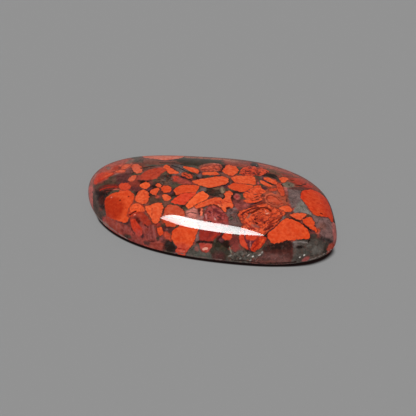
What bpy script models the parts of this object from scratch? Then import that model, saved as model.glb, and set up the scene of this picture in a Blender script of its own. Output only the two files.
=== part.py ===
"""Polished breccia cabochon: one stone with a domed, polished front and a flat back.

Units are metres, with +Z up. The origin is in the flat back, under the middle of the
stone's outline. +X runs along the longest side to side measure of the outline.
"""
import math

import bmesh
import bpy

OBJECT_NAME = "breccia_cabochon"
STONE_NAME = "cabochon"

# Overall size
LENGTH = 0.046
WIDTH = 0.028
HEIGHT = 0.0065

# Outline seen from above: a round with four full corners, stretched along the stone
STRETCH = 1.717                       # how many times longer the stretched round is than wide
CORNER_FULLNESS = 0.042               # how far the corners stand out, as a share of the round
CORNER_TURN = math.radians(16.5)      # how far the corners sit round from the diagonals
END_DIFFERENCE = 0.026                # how much blunter the +X end is than the -X end
END_TURN = math.radians(3)            # how far the blunt end sits round from the middle
LEAN = math.radians(7.7)              # turn that lays the longest measure along X

# Section from the top of the dome, over the girdle, to the flat back
GIRDLE_HEIGHT = 0.0006                # where the dome's foot stands straight up
DOME_FLATNESS = 2.8                   # 2 gives a round dome, and more flattens its top
DOME_STEEPNESS = 0.42                 # less makes the dome's foot steeper
GIRDLE_ROUNDING = 0.00012             # worn edge between the dome and the back bevel
BACK_BEVEL_INSET = 0.0008             # how far the flat back lies inside the girdle

# Facets
SEGMENTS_ROUND = 120
DOME_RINGS = 22
GIRDLE_RINGS = 2

# The stone's own colour and polish
JASPER_RED = (0.62, 0.12, 0.04, 1.0)
POLISH_ROUGHNESS = 0.06
STONE_IOR = 1.54

FLAT_TOLERANCE = 1e-7


def clear_scene():
    """Remove every object that the file starts with."""
    for old in list(bpy.data.objects):
        bpy.data.objects.remove(old, do_unlink=True)


def outline_point(angle):
    """Point of the outline before it is sized, for an angle round the stone."""
    radius = 1 - CORNER_FULLNESS * math.cos(4 * (angle - CORNER_TURN))
    radius *= 1 - END_DIFFERENCE * math.cos(3 * (angle - END_TURN))
    x = STRETCH * radius * math.cos(angle)
    y = radius * math.sin(angle)
    return (
        x * math.cos(LEAN) - y * math.sin(LEAN),
        x * math.sin(LEAN) + y * math.cos(LEAN),
    )


def sized_outline():
    """The outline's points, centred on the origin and brought to LENGTH by WIDTH."""
    angles = [math.tau * i / SEGMENTS_ROUND for i in range(SEGMENTS_ROUND)]
    points = [outline_point(angle) for angle in angles]
    xs = [x for x, y in points]
    ys = [y for x, y in points]
    middle_x = (max(xs) + min(xs)) / 2
    middle_y = (max(ys) + min(ys)) / 2
    scale_x = LENGTH / (max(xs) - min(xs))
    scale_y = WIDTH / (max(ys) - min(ys))
    return [((x - middle_x) * scale_x, (y - middle_y) * scale_y) for x, y in points]


def dome_height(share):
    """Height of the dome at a share of the way from its middle to the girdle."""
    rise = max(0.0, 1 - share ** DOME_FLATNESS) ** DOME_STEEPNESS
    return GIRDLE_HEIGHT + (HEIGHT - GIRDLE_HEIGHT) * rise


def section():
    """Rings from the top to the back: share of the outline, inset from it, height."""
    rings = []
    for i in range(DOME_RINGS + 1):
        share = math.sin(math.pi / 2 * i / DOME_RINGS)
        rings.append((share, 0.0, dome_height(share)))
    for i in range(1, GIRDLE_RINGS + 1):
        turn = math.pi / 2 * i / (GIRDLE_RINGS + 1)
        inset = GIRDLE_ROUNDING * (1 - math.cos(turn))
        rings.append((1.0, inset, GIRDLE_HEIGHT - GIRDLE_ROUNDING * math.sin(turn)))
    rings.append((1.0, BACK_BEVEL_INSET, 0.0))
    rings.append((0.0, 0.0, 0.0))
    return rings


def stone_mesh():
    """A primitive sphere, each of its points laid on the stone's outline and section."""
    rings = section()
    outline = sized_outline()
    steps_down = len(rings) - 1
    bm = bmesh.new()
    bmesh.ops.create_uvsphere(bm, u_segments=SEGMENTS_ROUND, v_segments=steps_down, radius=1.0)
    for vert in bm.verts:
        down = math.acos(max(-1.0, min(1.0, vert.co.z)))
        share, inset, height = rings[round(down / math.pi * steps_down)]
        place = round(math.atan2(vert.co.y, vert.co.x) / math.tau * SEGMENTS_ROUND) % SEGMENTS_ROUND
        x, y = outline[place]
        reach = share * (1 - inset / math.hypot(x, y))
        vert.co = (x * reach, y * reach, height)
    back_faces = [f for f in bm.faces if max(abs(v.co.z) for v in f.verts) < FLAT_TOLERANCE]
    bmesh.ops.dissolve_faces(bm, faces=back_faces)
    mesh = bpy.data.meshes.new(STONE_NAME)
    bm.to_mesh(mesh)
    bm.free()
    return mesh


def polished_jasper():
    """Glossy red jasper."""
    material = bpy.data.materials.new("polished_jasper")
    material.use_nodes = True
    shader = material.node_tree.nodes["Principled BSDF"]
    shader.inputs["Base Color"].default_value = JASPER_RED
    shader.inputs["Roughness"].default_value = POLISH_ROUGHNESS
    shader.inputs["Metallic"].default_value = 0.0
    shader.inputs["IOR"].default_value = STONE_IOR
    return material


def build_cabochon(collection):
    """The stone, lying on its flat back."""
    mesh = stone_mesh()
    mesh.materials.append(polished_jasper())
    mesh.shade_smooth()
    mesh.set_sharp_from_angle(angle=math.radians(30))
    stone = bpy.data.objects.new(STONE_NAME, mesh)
    collection.objects.link(stone)
    return stone


def main():
    clear_scene()
    collection = bpy.data.collections.new(OBJECT_NAME)
    bpy.context.scene.collection.children.link(collection)
    build_cabochon(collection)


main()
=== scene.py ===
"""Looks of a polished breccia cabochon: red and orange fragments in a dark ground.

Lengths are in metres where they belong to the stone and the stage, and in millimetres
where they belong to the pattern in the stone. Places in the photograph are pixels of its
416 by 416 frame, and each one is laid on the stone through the photograph's camera.
"""
import math
from collections import namedtuple

import bpy
import numpy as np
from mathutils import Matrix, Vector, noise


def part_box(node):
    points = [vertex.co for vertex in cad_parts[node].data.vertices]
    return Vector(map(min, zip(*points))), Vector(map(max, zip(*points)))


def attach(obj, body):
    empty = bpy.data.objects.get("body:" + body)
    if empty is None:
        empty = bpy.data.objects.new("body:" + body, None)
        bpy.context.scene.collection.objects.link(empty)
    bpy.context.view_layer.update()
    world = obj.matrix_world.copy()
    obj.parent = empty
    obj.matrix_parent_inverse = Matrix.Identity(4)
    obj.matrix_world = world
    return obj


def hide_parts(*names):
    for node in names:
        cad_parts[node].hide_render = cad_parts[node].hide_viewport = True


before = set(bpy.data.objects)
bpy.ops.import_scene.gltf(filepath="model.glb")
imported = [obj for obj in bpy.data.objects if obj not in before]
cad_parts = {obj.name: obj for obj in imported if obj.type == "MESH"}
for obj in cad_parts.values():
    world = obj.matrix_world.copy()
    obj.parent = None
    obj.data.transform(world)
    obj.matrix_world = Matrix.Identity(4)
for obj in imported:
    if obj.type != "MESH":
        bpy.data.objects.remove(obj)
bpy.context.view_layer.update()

STONE_NODE = "cabochon"
STONE_NAME = "polished_stone"
MILLIMETRE = 0.001

# The stone's form, from the same driving dimensions as the CAD solid
CAD_LOW, CAD_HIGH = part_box(STONE_NODE)
LENGTH = CAD_HIGH.x - CAD_LOW.x
WIDTH = CAD_HIGH.y - CAD_LOW.y
HEIGHT = CAD_HIGH.z - CAD_LOW.z
STRETCH = 1.717
CORNER_FULLNESS = 0.042
CORNER_TURN = math.radians(16.5)
END_DIFFERENCE = 0.026
END_TURN = math.radians(3)
LEAN = math.radians(7.7)
GIRDLE_HEIGHT = 0.0006
DOME_FLATNESS = 2.8
DOME_STEEPNESS = 0.42
GIRDLE_ROUNDING = 0.00012
BACK_BEVEL_INSET = 0.0008

# The fine surface
RINGS = 122                           # rings of the dome, and of the flat back
SECTORS = 6                           # ring k has SECTORS * k points
ROUNDING_RINGS = 4
BEVEL_RINGS = 4
SHARP_ANGLE = math.radians(25)        # edges that turn more than this are shaded as edges
FINE_STEPS = 4000                     # steps in which the outline and the section are measured
UNROLL_STEPS = 500                    # steps in which the section is laid flat

# The photograph's camera
PHOTO_SIZE = 416
PHOTO_VIEW_ANGLE = math.radians(12)
PHOTO_AZIMUTH = math.radians(25.06)
PHOTO_ELEVATION = math.radians(36)
PHOTO_DISTANCE = 0.340735
PHOTO_AIM_RIGHT = -0.000796
PHOTO_AIM_AWAY = -0.001771
PHOTO_AIM_HEIGHT = 0.0025
STONE_MIDDLE_PIXEL = (213, 209)
SEARCH_STEPS = 200                    # steps from a pixel off the stone towards its middle
SENSOR_WIDTH = 36                     # mm
NEAREST_SEEN = 0.01

# The pattern's layers: fragments that come near each other lie in different ones
LAYERS = 6
LAYER_MARGIN = 0.3                    # how near two fragments of one layer may come
FIELD_MARGIN = 1.6                    # how far round a fragment its distance is kept
FRAGMENT_GAP = 0.05                   # least gap that a fragment leaves to one before it
LEAST_DEPTH = 0.05                    # a fragment that is nowhere deeper than this is dropped
FAR_OUTSIDE = -1.0                    # distance stored where no fragment is near
FAR_AWAY = 1000.0                     # for points that aren't on the flat map
FRAGMENT_ROUNDNESS = 0.48             # 0 gives straight sides, and 1 a smooth curve
WRAP_BEHIND = 2.2                     # how far fragments at the photo's outline run on behind
WRAP_BELOW = 0.9                      # and under the front edge
LEAST_COARSE = 0.28                   # how crumbly the ground is everywhere, from 0 to 1
PATCH_WOBBLE = 0.25                   # how far a patch's soft edge wanders, as a share of its width
PATCH_WOBBLE_SIZE = 0.7
PATCH_WOBBLE_SEED = 11
WASH_SOFTNESS = 1.2
STROKE_MARGIN = 0.6                   # how far round a stroke its distance is kept
STROKE_SOFTNESS = 0.07
BLOB_POINTS = 12
RANDOM_SEED = 7
NOISE_SHIFT = (17.3, -9.1, 5.7)       # what lies between the noises of two seeds
NOISE_GAIN = 1.6                      # brings the noise to about -1 to 1
TINY = 1e-12

# How brightly the scene lights the stone, and what its polish adds to every colour
LIGHT_LEVEL = 0.97
POLISH_VEIL = 0.0045
LEAST_REFLECTANCE = 0.003

# Colours as they look in the photograph, sRGB
TANGERINE = (242, 98, 52)
ORANGE = (229, 92, 52)
EMBER = (222, 79, 41)
VERMILION = (216, 66, 35)
RUST = (202, 76, 46)
BRICK = (182, 58, 42)
GARNET = (154, 38, 30)
CORAL = (216, 97, 68)
SALMON = (214, 108, 82)
PINK = (215, 125, 110)
OLIVE = (70, 64, 51)
GREY_GREEN = (82, 78, 70)
SOOT = (36, 25, 21)
MAROON = (100, 52, 47)
OXBLOOD = (86, 28, 26)
PLUM = (78, 46, 52)
LILAC = (119, 104, 102)
CLOUDY_RED = (174, 60, 42)
DUSTY_RED = (148, 63, 52)
SAND = (138, 119, 98)
PEARL = (206, 198, 190)

# colour; softness of the edge in mm; strength of the dark line round it, of the mottling,
# of the dark cracks and of the rings that follow the edge
Style = namedtuple("Style", "colour softness rim mottle crackle rings")
STYLES = {
    "tangerine": Style(TANGERINE, 0.05, 0.7, 0.35, 0.0, 0.0),
    "orange": Style(ORANGE, 0.05, 0.7, 0.45, 0.0, 0.0),
    "ember": Style(EMBER, 0.05, 0.7, 0.50, 0.0, 0.0),
    "vermilion": Style(VERMILION, 0.05, 0.65, 0.50, 0.0, 0.0),
    "rust": Style(RUST, 0.07, 0.6, 0.60, 0.0, 0.0),
    "brick": Style(BRICK, 0.10, 0.4, 0.80, 0.3, 0.0),
    "garnet": Style((156, 50, 42), 0.07, 0.5, 0.70, 0.3, 0.0),
    "coral": Style(CORAL, 0.09, 0.6, 0.55, 0.0, 0.0),
    "salmon": Style(SALMON, 0.10, 0.3, 0.45, 0.0, 0.0),
    "faded_orange": Style((200, 82, 54), 0.07, 0.7, 0.50, 0.0, 0.0),
    "cloudy_red": Style(CLOUDY_RED, 0.20, 0.3, 0.80, 0.2, 0.0),
    "dull_red": Style((150, 58, 46), 0.22, 0.2, 0.90, 0.3, 0.0),
    "crackled": Style((216, 77, 47), 0.09, 0.6, 0.70, 1.0, 0.0),
    "striped": Style((202, 88, 64), 0.16, 0.3, 0.90, 0.8, 0.0),
    "crackled_wine": Style((170, 74, 68), 0.16, 0.2, 1.00, 0.7, 0.0),
    "ringed": Style((226, 88, 50), 0.06, 0.6, 0.75, 0.65, 0.9),
    "faint_rings": Style(ORANGE, 0.05, 0.7, 0.45, 0.0, 0.3),
    "streaked": Style(EMBER, 0.05, 0.6, 0.70, 0.5, 0.3),
    "burnt": Style((208, 70, 44), 0.10, 0.4, 0.65, 0.0, 0.0),
    "close_ember": Style((234, 90, 50), 0.07, 0.25, 0.60, 0.3, 0.0),
    "merged": Style((206, 70, 42), 0.14, 0.2, 0.80, 0.5, 0.0),
    "soft_vermilion": Style((206, 60, 36), 0.13, 0.3, 0.70, 0.2, 0.0),
    "bright_red": Style((222, 70, 44), 0.07, 0.5, 0.60, 0.0, 0.0),
    "bright_cloudy": Style((190, 70, 48), 0.20, 0.2, 0.80, 0.2, 0.0),
    "bowl": Style((202, 60, 33), 0.07, 0.5, 0.70, 0.4, 0.0),
    "dusty": Style((166, 74, 60), 0.26, 0.1, 0.80, 0.2, 0.0),
    "dim": Style((150, 68, 60), 0.26, 0.1, 0.90, 0.3, 0.0),
    "eye": Style((198, 86, 58), 0.14, 0.2, 0.60, 0.0, 0.0),
    "rosy": Style((182, 74, 62), 0.12, 0.3, 0.60, 0.0, 0.0),
    "pale_splinter": Style((238, 112, 82), 0.10, 0.3, 0.40, 0.0, 0.0),
    "close_orange": Style(ORANGE, 0.06, 0.25, 0.50, 0.0, 0.0),
    "calm_ember": Style(EMBER, 0.08, 0.2, 0.50, 0.0, 0.0),
}

# Crisp fragments: name, style, outline in photo pixels. Where two meet, the first one is whole.
FRAGMENTS = [
    ("left_giant", "calm_ember", [
        (104.8, 200.4), (106.3, 197.7), (110.9, 194.2), (117, 192.3), (122.5, 191), (129.4, 191.2),
        (133.2, 193.8), (134.4, 196.9), (131.7, 204.2), (129.4, 207.3), (127, 214.6), (128.6, 217.7),
        (127.5, 221.5), (125.2, 223), (121, 222), (112.5, 219.3), (108.6, 217.6), (106.3, 214),
        (104.8, 206)]),
    ("left_square", "faint_rings", [
        (137, 195), (138.5, 192), (141, 190), (146, 190), (148.5, 193), (149.2, 197), (148.5, 200.5),
        (146.5, 203), (143, 204.3), (137.5, 202), (135, 200.5), (135, 197.5)]),
    ("far_left_wedge", "soft_vermilion", [
        (94, 184), (94.2, 180), (96, 176.5), (99, 173.4), (103, 172.4), (108, 172.8), (113, 172.5),
        (113, 174.4), (109, 176.8), (104, 179.3), (99, 182), (96.4, 184.2)]),
    ("far_left_crest", "dusty", [
        (97.5, 172.5), (100.5, 169), (104, 167.2), (106, 169), (109, 171.2), (104, 172)]),
    ("far_left_chip_upper", "coral", [
        (121, 168.5), (122.5, 166), (125.5, 164), (129, 164.2), (130.5, 165.5), (124.5, 169.5)]),
    ("far_left_chip_red", "cloudy_red", [
        (113, 168.8), (114.5, 165.5), (118.5, 165.8), (118.5, 169), (114, 169.8)]),
    ("far_left_chip_top", "dusty", [
        (113.5, 164), (118, 161.5), (125, 160), (128, 161.5), (122, 163.5), (116, 165)]),
    ("far_left_sliver", "coral", [
        (114, 171.4), (119, 170), (123.5, 169.3), (126, 171), (124, 172.3), (118, 172.6)]),
    ("far_left_pebble", "coral", [
        (131.3, 166.5), (133.5, 164.3), (137, 163.8), (140, 165.5), (142.3, 168.3), (142, 171.5),
        (139.5, 173.5), (135.5, 172.8), (132.5, 169.5)]),
    ("left_leaf", "coral", [
        (128, 180), (129.5, 177.8), (132.5, 175.7), (136, 175), (137, 176), (135.8, 178.5),
        (133, 181), (130, 181.5)]),
    ("left_cap", "burnt", [
        (118.5, 187.8), (119.3, 184.5), (122, 183), (126, 182.8), (129.5, 184), (130.8, 186),
        (129.5, 189), (124, 190.2)]),
    ("left_bud", "tangerine", [
        (139.3, 186), (142, 183.5), (145.5, 182), (149, 182.7), (150.5, 184.7), (147.5, 188.5),
        (144, 188.7)]),
    ("left_cluster_a", "close_ember", [
        (129.4, 208.6), (131.6, 205.2), (134.4, 204), (138.4, 203.5), (142.6, 206), (145, 208.4),
        (144.4, 211.2), (138, 212), (133.6, 211.6), (130.4, 211.6)]),
    ("left_cluster_b", "merged", [
        (127.4, 216), (127.4, 211), (128.4, 208.4), (129.6, 207.4), (130.4, 208), (131, 210.6),
        (133, 211.8), (131.6, 216.4)]),
    ("left_cluster_c", "cloudy_red", [
        (136.8, 213), (142.3, 211.8), (147, 216.5), (149.8, 220.5), (151.4, 224.4), (147.5, 226),
        (143.5, 224.6), (140.6, 219.6), (138.4, 216.8)]),
    ("left_blade", "soft_vermilion", [
        (130.4, 221.5), (131.4, 218.3), (133.6, 218.4), (136, 221), (139.6, 224.8), (141.6, 229),
        (142.4, 233), (141, 236), (138.4, 236.4), (135.3, 233), (131.4, 227)]),
    ("left_under_a", "dusty", [
        (106, 216.5), (109, 218.6), (113, 220.3), (119.5, 222.6), (121, 226), (119.5, 230.8),
        (113, 228.3), (107.5, 223)]),
    ("left_under_b", "dim", [
        (121.8, 223.6), (127.5, 226.5), (130.5, 230), (129.5, 232.6), (124, 233.4), (120, 232),
        (121.5, 228)]),
    ("left_under_c", "dim", [
        (132.5, 233), (136.5, 237), (141, 238.5), (142.5, 245), (135.5, 243.4), (132, 240.5)]),
    ("left_under_d", "dim", [
        (143.5, 225.6), (150.6, 226), (154.5, 231), (156, 236), (154.5, 242.2), (147.8, 239.6),
        (144.6, 234)]),
    ("left_under_e", "dusty", [
        (149.8, 246), (152, 242.8), (158.5, 241.5), (163.2, 243.6), (161.5, 249.8), (153, 248.6)]),
    ("far_ribbon", "salmon", [
        (144.2, 157.7), (148, 155.4), (165, 154), (184, 155.8), (181, 158), (165, 160.3),
        (152, 158.5)]),
    ("far_hook", "orange", [
        (162.5, 167.5), (164.5, 165.5), (167, 164.5), (169, 166), (171, 168), (178.5, 172.3),
        (177, 173.7), (172, 173.8), (168.5, 173.3), (166, 169.5)]),
    ("upper_cloudy", "bright_cloudy", [
        (141.5, 179), (141, 175.5), (143, 173), (147, 170.5), (152, 168.7), (162.5, 166.8),
        (165.6, 168), (166.4, 170.6), (161, 174), (156, 178.8), (146, 180.3)]),
    ("far_sliver_a", "rust", [
        (180.5, 174), (183, 172.5), (186, 173), (190, 174.3), (192.5, 176), (191.5, 178.3),
        (188.5, 178.6), (182, 175.5)]),
    ("far_sliver_b", "orange", [
        (182.5, 167), (185, 166.2), (189, 167), (197.5, 169), (198.8, 172), (197.5, 173.5),
        (189, 170.8)]),
    ("small_drop", "orange", [
        (156, 185.4), (157.5, 183.2), (160, 183.6), (162, 185.6), (160.4, 187.4), (157.6, 187.2)]),
    ("small_tooth", "orange", [
        (149.8, 192), (151.5, 189.8), (155, 188.4), (158.8, 187.6), (159.3, 190), (155.8, 195.3),
        (152.4, 194.2)]),
    ("small_disc", "ember", [
        (161, 188), (163.5, 185.8), (168.5, 185.6), (170.8, 187), (171.3, 189.5), (169.5, 192.2),
        (164.5, 192.9), (162, 191)]),
    ("small_bowl", "orange", [
        (162, 195.8), (164, 194.4), (168, 194.6), (171.3, 198), (169.5, 200.2), (166.5, 201),
        (163.8, 200)]),
    ("middle_upper_block", "ember", [
        (173.5, 190), (176, 187.5), (179, 185.8), (184, 184.8), (190, 184.8), (199.6, 186.2),
        (196.2, 192), (184, 193), (177, 195), (175, 193)]),
    ("middle_bar", "tangerine", [
        (185.8, 206.5), (185.8, 204.6), (190, 200), (194.6, 195.5), (201, 191.3), (204, 191.7),
        (209.2, 196.2), (205.4, 200.4), (196.9, 204.2), (188.5, 209.2)]),
    ("middle_red_wedge", "bright_red", [
        (171, 202), (173.5, 199.2), (180, 194.5), (190, 191.5), (196, 192), (194.5, 195),
        (188.8, 200), (185.4, 204.6), (180.4, 204.8), (174.5, 203.9)]),
    ("long_lozenge", "orange", [
        (192.1, 181.9), (194.6, 180.4), (205.4, 178.3), (216.9, 176.5), (222.7, 176.2),
        (226, 177.4), (228.5, 179.6), (228, 182.7), (224, 184.8), (210.8, 187.7), (207.3, 187.3),
        (197.7, 184.6)]),
    ("far_strip", "orange", [
        (202, 173.2), (205, 172), (216, 171.8), (220, 174.5), (212, 175), (203.5, 175)]),
    ("far_mottled", "striped", [
        (200.5, 170.5), (201.5, 167), (206, 165.3), (213, 163.6), (221, 164.4), (221, 170),
        (216, 171), (206, 171.3)]),
    ("far_pentagon", "orange", [
        (222.3, 170.8), (226.5, 165.4), (228.8, 164.6), (232.3, 165.8), (235.4, 166.2),
        (238.8, 170.4), (236.9, 173), (234.2, 175.4), (231.5, 176.2), (224.6, 173)]),
    ("far_crackled_a", "crackled", [
        (239.8, 173.4), (241.2, 169), (245, 166.8), (255, 166.6), (257.4, 168.8), (257, 174),
        (252, 175.8), (244, 175.2)]),
    ("far_crackled_b", "crackled", [
        (257.2, 173.4), (257.6, 169), (261, 167.4), (266.8, 169.8), (269.5, 171.6), (264.4, 173.8),
        (259, 176.6)]),
    ("right_upper_slab", "close_orange", [
        (231.5, 177.7), (235.4, 176.2), (247, 175.5), (253, 176.3), (255.4, 178.5), (255, 184.8),
        (243, 183.5), (233.8, 182.3)]),
    ("right_lower_slab", "calm_ember", [
        (228, 187), (229.6, 185), (232.3, 183.5), (237, 183.3), (251, 185), (254, 186.5),
        (247, 190.8), (243, 192), (233.5, 190.4)]),
    ("right_fan_a", "close_ember", [
        (246.6, 190.9), (254.5, 185.8), (260, 185.4), (262, 188.5), (266.3, 191.7), (262.6, 193.5),
        (254.6, 194.3)]),
    ("right_fan_b", "close_ember", [
        (242.6, 194.5), (246.6, 191.3), (254.2, 194.6), (262.4, 193.9), (259, 197.7), (246, 199)]),
    ("right_fan_c", "close_ember", [
        (243.6, 201), (245.6, 199.2), (257.5, 198), (263.4, 197.3), (260.6, 200.8), (254.6, 202.6),
        (248.6, 202.9)]),
    ("middle_hooked_bar", "orange", [
        (194.4, 206), (199.6, 203), (208.5, 199.4), (214, 197.6), (220.4, 197.5), (222.6, 199.4),
        (225.2, 196.9), (225, 195.4), (224.4, 193.8), (226, 191.6), (229, 190.9), (231.8, 191.8),
        (232.8, 194), (231, 196), (231, 197.4), (231.4, 200.6), (233.5, 206), (232.3, 208.5),
        (229, 206.9), (226.2, 207.2), (226.9, 209.6), (226, 212), (223.2, 210.4), (219.6, 206.6),
        (214, 204.4), (208, 205), (202.7, 207.2), (196.5, 208.2)]),
    ("orange_splinter", "pale_splinter", [
        (200.4, 215.5), (200.8, 209), (202.3, 208), (202.8, 215.8)]),
    ("wine_round", "crackled_wine", [
        (203.2, 220), (204.4, 213), (206.2, 208.6), (209.4, 206), (214, 205.3), (218.6, 207),
        (222.6, 210.8), (225.4, 213.6), (227.6, 217.6), (228.4, 222.6), (228, 226.4),
        (215, 225.6), (204.4, 223.4)]),
    ("right_top_a", "close_orange", [
        (263.8, 177.5), (267, 177.3), (271, 178.6), (275, 180.5), (278, 183), (277, 184.6),
        (272, 183.5), (264.5, 179.5)]),
    ("right_top_b", "close_orange", [
        (260, 180.6), (262.5, 180.6), (270, 184.5), (272.4, 186.2), (267, 186.4), (261, 183)]),
    ("right_claw", "rust", [
        (276, 184.6), (278.6, 183), (281.5, 185.6), (284.2, 190.5), (284.4, 195.5), (281.5, 196.2),
        (278, 190.5)]),
    ("right_flake", "rust", [
        (268.5, 190.4), (270.5, 188.4), (276.5, 188), (277.2, 190), (273, 191)]),
    ("right_eye_core", "faded_orange", [
        (266.5, 198.2), (268, 195.8), (271, 195.2), (276, 197.5), (281, 202.3), (278.6, 203.6),
        (272.6, 202.6), (268, 200.8)]),
    ("right_eye", "eye", [
        (264.8, 199.6), (266, 196.4), (269.6, 194), (275, 195.6), (280.6, 199.6), (284, 204.4),
        (278.5, 205.6), (271, 204.2), (266.4, 202.2)]),
    ("far_right_nib", "orange", [
        (279.2, 178.5), (282, 177), (286, 177.5), (288.5, 179), (284, 183), (281.5, 181.8)]),
    ("far_right_lens", "cloudy_red", [
        (289.5, 179.5), (294, 177.5), (300, 178), (306.5, 181), (304, 183.4), (300, 185), (296, 184)]),
    ("far_right_red", "brick", [
        (302.5, 186), (305, 183.4), (309, 183.2), (313, 186.5), (310, 188.3)]),
    ("far_right_chip", "dull_red", [
        (281, 172.5), (286, 170.5), (293, 174), (291, 176.5), (284, 175.5)]),
    ("right_end_giant", "vermilion", [
        (301, 195), (301, 192.9), (302.5, 191), (305.4, 190), (310, 189.6), (315, 190.4),
        (321.4, 194.3), (326.8, 199.3), (330.4, 207.5), (332.9, 216.4), (333.2, 220.7),
        (331.8, 222.5), (328.2, 217.5), (317.1, 216), (313.2, 213.9), (305, 203.2), (300.7, 197.9)]),
    ("right_kite", "orange", [
        (289.4, 215.4), (293.4, 213.3), (304.5, 213.2), (306.5, 214.5), (301.5, 219.5),
        (298.5, 220)]),
    ("right_boot", "ember", [
        (302.5, 219.5), (305.5, 218), (309, 216.8), (311.5, 217.3), (314.8, 222.5), (314, 225.5),
        (317.5, 230.5), (316, 232), (310, 228), (303.5, 223)]),
    ("right_big_wedge", "ember", [
        (267.3, 235), (269.6, 231.8), (274.2, 228.5), (283.5, 219.6), (288.5, 218.5),
        (298.8, 222.3), (307, 228.5), (309.2, 234.6), (308.8, 238.5), (290.4, 240.4),
        (285.8, 240.4), (278.8, 243), (272.7, 243.8), (268, 238.8)]),
    ("ringed_giant", "ringed", [
        (238, 214.2), (239.6, 211.5), (248, 208.5), (259.6, 204.6), (265, 203), (272, 206.5),
        (283.5, 210.8), (285, 213), (277.7, 223.8), (268, 231.5), (265, 234.2), (255, 233.2),
        (246, 230.8), (240.6, 228.8), (242.6, 224.6), (240.4, 220.4)]),
    ("right_nugget", "close_orange", [
        (279, 208.4), (282.4, 206.2), (288, 205.6), (292.3, 209.3), (290.3, 211.8), (285.6, 211.8)]),
    ("bowl_limb", "burnt", [
        (239.2, 238), (239.6, 234), (240.6, 230.6), (243.2, 231), (244, 235.6), (244.4, 239),
        (246.4, 243.5), (248.4, 247),
        (247.8, 249), (243, 247.3), (240.3, 243.5)]),
    ("bowl_strip", "burnt", [
        (245.4, 238.2), (246.2, 234), (248.4, 231), (253, 232.2), (258, 234), (259, 236.6),
        (255, 239.8), (249, 240.3)]),
    ("bowl_red", "bowl", [
        (250.8, 247.6), (252.8, 243.6), (256, 240.6), (258.4, 237.6), (259, 235.6), (263, 235.8),
        (265.8, 238), (265.4, 241.4), (261, 247), (257, 250.2), (253.6, 251.4), (250.8, 250)]),
    ("front_garnet", "garnet", [
        (199.2, 232.7), (200.4, 230), (202.6, 226.6), (209, 225.6), (217, 227.4), (221, 230.4),
        (221.5, 233.3), (213, 240.6), (209.2, 241.2),
        (199.8, 239.6)]),
    ("front_chip", "burnt", [
        (222, 236), (223.5, 234), (225.6, 232), (229.4, 231.4), (232.8, 232.4), (232.5, 233.8),
        (232, 237.4), (230.5, 239.5),
        (226, 240), (223, 238.5)]),
    ("front_left_giant", "ember", [
        (171.9, 233), (173.8, 229.8), (179.2, 225.6), (184.6, 221.4), (191, 221), (197.8, 224),
        (199.6, 227.4), (197.7, 230), (195.8, 235.4),
        (194, 241), (191.5, 245.8), (187.7, 250.6), (185, 255.2), (181, 255.4), (176.4, 253.4),
        (175.4, 250.6), (176.9, 246.9), (172.7, 240.8), (170.8, 238)]),
    ("front_bud", "ember", [
        (157, 228.8), (159.2, 227.5), (161.5, 227.2), (162.6, 229.6), (163.8, 232.8),
        (161.9, 235.4), (159.4, 235.8)]),
    ("left_trowel", "orange", [
        (144.6, 206.5), (150.4, 205), (158, 202.7), (161.2, 202.7), (163.3, 206.9), (161.5, 213.5),
        (159.6, 220.4), (158, 223), (155.4, 223.8), (152.3, 221.9), (151.2, 218.5), (148.5, 214.2),
        (145.8, 210)]),
    ("middle_faded", "faded_orange", [
        (165.4, 208), (167, 205.8), (169.6, 204.4), (177, 205.8), (183.5, 210), (184.6, 213),
        (184.2, 217), (176, 218), (164, 216), (164.2, 211.5)]),
    ("under_glint", "rust", [
        (162.2, 219.6), (163.8, 216.8), (170, 218.4), (177, 218.8), (182.6, 219.4), (180.5, 223),
        (176.5, 225.5), (174, 227), (166.8, 226.4)]),
    ("near_bridge", "bright_cloudy", [
        (163.4, 232.6), (166.6, 231.4), (170.2, 233.8), (172.2, 236.4), (174.2, 240), (171, 240.6),
        (166.4, 239.2), (163.8, 237)]),
    ("front_pink", "rosy", [
        (199.6, 246), (199.5, 243.8), (204, 243.2), (212, 244.4), (211.6, 247.6), (209, 251),
        (206, 252.5), (202.4, 251)]),
    ("right_girdle_red", "dusty", [
        (327, 250), (328, 246.5), (330, 244), (333, 243), (334.5, 244), (334, 247), (328.5, 252.3)]),
]


def blob(x, y, reach_x, reach_y, turn=0):
    """Outline of an oval patch, in photo pixels."""
    lean = math.radians(turn)
    points = []
    for i in range(BLOB_POINTS):
        angle = math.tau * i / BLOB_POINTS
        along = reach_x * math.cos(angle)
        across = reach_y * math.sin(angle)
        points.append((
            x + along * math.cos(lean) - across * math.sin(lean),
            y + along * math.sin(lean) + across * math.cos(lean)))
    return points


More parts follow.
